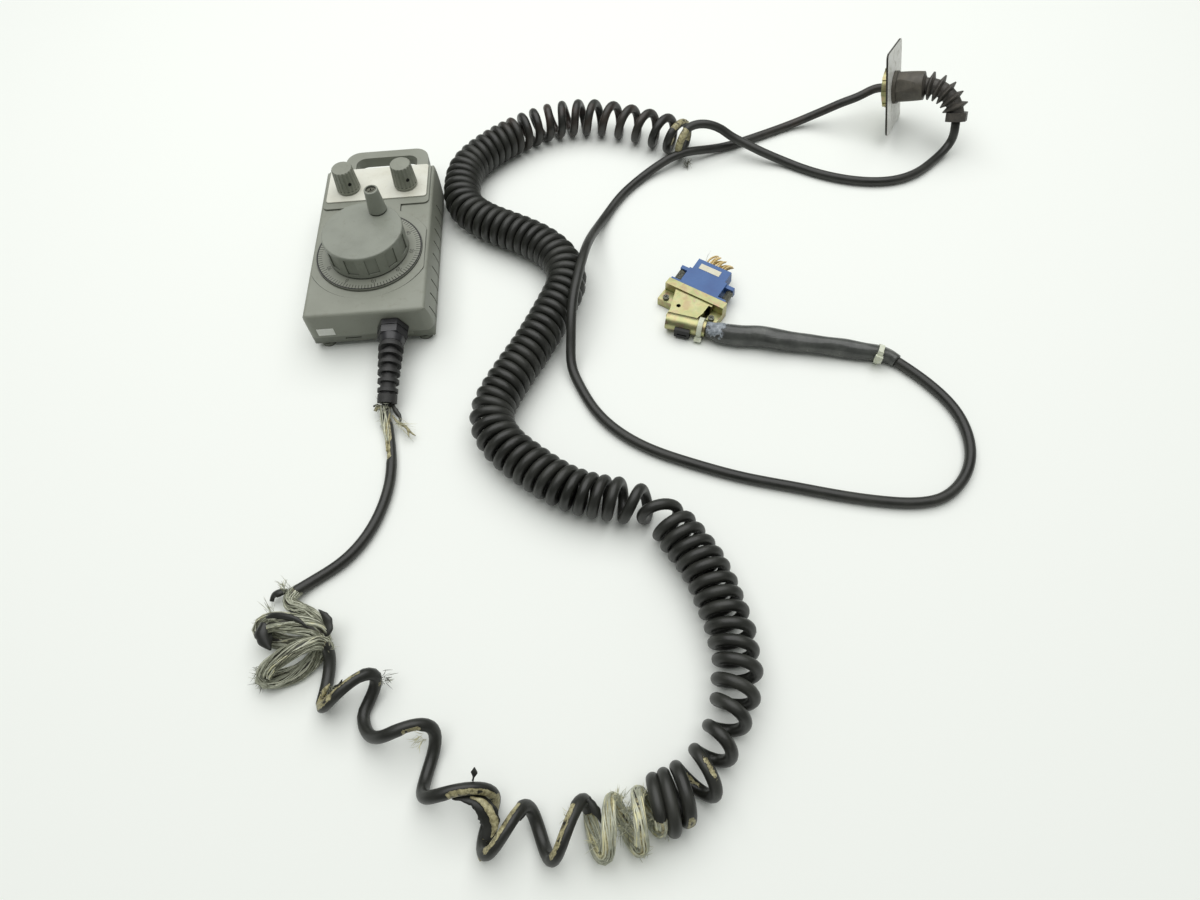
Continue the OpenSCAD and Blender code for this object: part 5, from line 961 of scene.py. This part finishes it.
def sleeveFinish():
    # Shrunk black sleeving: glossy, creased along its length, rubbed through to grey near the plug
    material, tree, shader = newMaterial("shrinkSleeve")
    where = addNode(tree, "TexCoord", out="Object")
    colour, broad = mottled(tree, where, sleeve["patch"], 5, sleeve["colours"])
    # worn: falls with the distance from one place, made ragged by noise
    wornAt, reach = tuple(c * mm for c in sleeve["wornAt"]), sleeve["wornReach"] * mm
    away = addNode(tree, "VectorMath", (where, wornAt), "Value", operation="DISTANCE")
    near = addNode(tree, "MapRange", (away, 0.2 * reach, reach, 0.75, -0.1))
    ragged = addNode(tree, "TexNoise", {"Vector": where, "Scale": perMm / sleeve["wornGrain"], "Detail": 6,
            "Roughness": 0.7})
    worn = addNode(tree, "Math", (ragged, sleeve["wornBy"], near), operation="MULTIPLY_ADD")
    worn = addNode(tree, "MapRange", (worn, *sleeve["wornFrom"]))
    rubbed, _ = mottled(tree, where, sleeve["wornSize"], 5, sleeve["worn"])
    colour = addNode(tree, "Mix", {0: worn, 6: colour, 7: rubbed}, 2, data_type="RGBA")
    # creases: noise drawn out along the sleeve
    turned = addNode(tree, "Mapping", {"Vector": where, "Rotation": (0, 0, math.radians(sleeve["creaseTurn"]))})
    long = addNode(tree, "Mapping", {"Vector": turned, "Scale": (sleeve["creaseLong"], 1, 1)})
    creases = addNode(tree, "TexNoise", {"Vector": long, "Scale": perMm / sleeve["creaseSize"], "Detail": 4,
            "Roughness": 0.6})
    height = addNode(tree, "Math", (worn, 0.6, creases), operation="MULTIPLY_ADD")
    bump = addNode(tree, "Bump", {"Height": height, "Distance": sleeve["bump"] * mm, "Strength": 1.0})
    gloss = addNode(tree, "Math", (broad, 0.6), operation="MULTIPLY")
    gloss = addNode(tree, "Math", (worn, 0.3, gloss), operation="MULTIPLY_ADD")
    tree.links.new(colour, shader.inputs["Base Color"])
    tree.links.new(addNode(tree, "MapRange", (gloss, 0.3, 0.7, *sleeve["rough"])), shader.inputs["Roughness"])
    tree.links.new(bump, shader.inputs["Normal"])
    return material


plugSleeve = meshFrom("plugSleeve", *sleeveArrays())
place(plugSleeve, "case", sleeveFinish())
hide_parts("cable_sleeve")

plug = {
    # how the block stands in its hood: mm, degrees, degrees, mm, mm
    "at": (246.1, -78.35, 0.0), "turn": -37.7, "tilt": 8.0, "shift": -0.8, "top": 13.8,
    # the wires at its front, in the block's own frame, mm
    "wires": 13, "wireStart": 25.5, "wireAcross": (-7, 8.5), "wireHeight": (5.2, 9.8), "wireRadius": 0.78,
    # mm, radians, radians, mm
    "wireBend": (6.6, 4.6), "wireLean": -0.55, "wireSweep": (1.9, 2.5), "wireRise": (1, 5),
    "wireJitter": {"across": 0.5, "bend": 0.6, "lean": 0.12, "sweep": 0.25}, "wirePoints": 14, "wireSides": 8,
    "grey": [[-8.5, 25.5, 8], [-9.6, 29, 9.5], [-10.4, 33, 11.5], [-9.6, 37, 14]], "greyRadius": 0.35, "greySides": 6,
    "label": (-10.0, 7.5, 18.8, 23.6), "labelHeight": (12.55, 12.78),   # left, right, near, far; under, over
}


def blockPoints(p):
    # Points in the block's own frame: tipped about its top edge, then turned and set down in the plug's place
    p = np.array(p, float) - [0, 0, plug["top"]]
    t, a = math.radians(plug["tilt"]), math.radians(plug["turn"])
    tip = np.array([[1, 0, 0], [0, math.cos(t), -math.sin(t)], [0, math.sin(t), math.cos(t)]])
    turn = np.array([[math.cos(a), -math.sin(a), 0], [math.sin(a), math.cos(a), 0], [0, 0, 1]])
    return (p @ tip.T + [plug["shift"], 0, plug["top"]]) @ turn.T + np.array(plug["at"])


def wireCurves():
    # Each wire leans left as it leaves, then bends right: an arc of radius bend from angle lean to lean + sweep
    count = plug["wires"]
    jitter = {key: rng.uniform(-by, by, count)[:, None] for key, by in plug["wireJitter"].items()}
    start = np.linspace(*plug["wireAcross"], count)[:, None] + jitter["across"]
    bend = np.linspace(*plug["wireBend"], count)[:, None] + jitter["bend"]
    lean = plug["wireLean"] + jitter["lean"]
    u = np.linspace(0, 1, plug["wirePoints"])[None]
    angle = lean + (np.linspace(*plug["wireSweep"], count)[:, None] + jitter["sweep"]) * u
    x = start + bend * (np.cos(lean) - np.cos(angle))
    y = plug["wireStart"] + bend * (np.sin(angle) - np.sin(lean))
    rise = rng.uniform(*plug["wireRise"], count)[:, None] * u**1.5
    return np.stack([x, y, np.where(np.arange(count) % 2, *plug["wireHeight"])[:, None] + rise], -1)


def labelArrays():
    # A flat box: four corners below, four above, and its six faces
    x0, x1, y0, y1 = plug["label"]
    corners = [[x, y, z] for z in plug["labelHeight"] for x, y in ((x0, y0), (x1, y0), (x1, y1), (x0, y1))]
    faces = [[3, 2, 1, 0], [4, 5, 6, 7], [0, 1, 5, 4], [1, 2, 6, 5], [2, 3, 7, 6], [3, 0, 4, 7]]
    return blockPoints(corners), [np.array(faces)]


points, *faces = manyTubes(blockPoints(wireCurves()), plug["wireRadius"], plug["wireSides"])
plugWires = meshFrom("plugWires", points, faces)
place(plugWires, "case", finish["wireSleeving"])
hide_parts("wire_stubs")
points, *faces = manyTubes(blockPoints([plug["grey"]]), plug["greyRadius"], plug["greySides"])
greyWire = meshFrom("greyWire", points, faces)
place(greyWire, "case", finish["paperSticker"])
plugLabel = meshFrom("plugLabel", *labelArrays(), smooth=False)
place(plugLabel, "case", finish["whitePaper"])
print("sleeve, wires and label made")

# Which finish each fixed or turning piece of the construction model wears
carried = {
    "mouldedAbs": ["front_case"],
    "coverAbs": ["rear_cover"],
    "sealRubber": ["case_gasket", "gland_seal"],
    "handledAbs": ["handwheel", "crank_grip"],
    "dialFace": ["dial_plate"],
    "dullSteel": ["crank_pin", "hood_screws", "jack_screws"],
    "knobAbs": ["selector_knob_left", "selector_knob_right"],
    "brightSteel": ["cover_screws", "board_screws", "encoder_screws", "bushing_nuts"],
    "blackSteel": ["wheel_setscrew", "knob_setscrew_left", "knob_setscrew_right", "cord_clamp"],
    "shaftSteel": ["encoder_shaft", "selector_shaft_left", "selector_shaft_right", "encoder_bearings"],
    "coatedPlate": ["label_plate"],
    "paperSticker": ["end_sticker"],
    "blackAbs": ["encoder_housing", "encoder_base", "selector_body_left", "selector_body_right", "code_disc",
            "detent_spring"],
    "detentBrass": ["detent_wheel"],
    "boardLacquer": ["circuit_board", "sensor_board"],
    "terminalPlastic": ["terminal_block"],
    "glandNylon": ["gland_body", "gland_nut", "gland_locknut"],
    "dustyNylon": ["plate_gland_body"],
    "bendRubber": ["bend_protector"],
    "plateRubber": ["plate_bend_protector"],
    "chromatedZinc": ["plate_gland_locknut", "connector_hood"],
    "sheetSteel": ["mounting_plate"],
    "plugBlue": ["connector_block"],
    "tieNylon": ["cable_ties"],
    "cordJacket": ["cord_inner", "cord_through"],
}

for key, names in carried.items():
    for name in names:
        nodes[name].data.materials.clear()
        nodes[name].data.materials.append(finish[key])
print("fixed pieces dressed")

bpy.context.scene.view_settings.view_transform = "Standard"
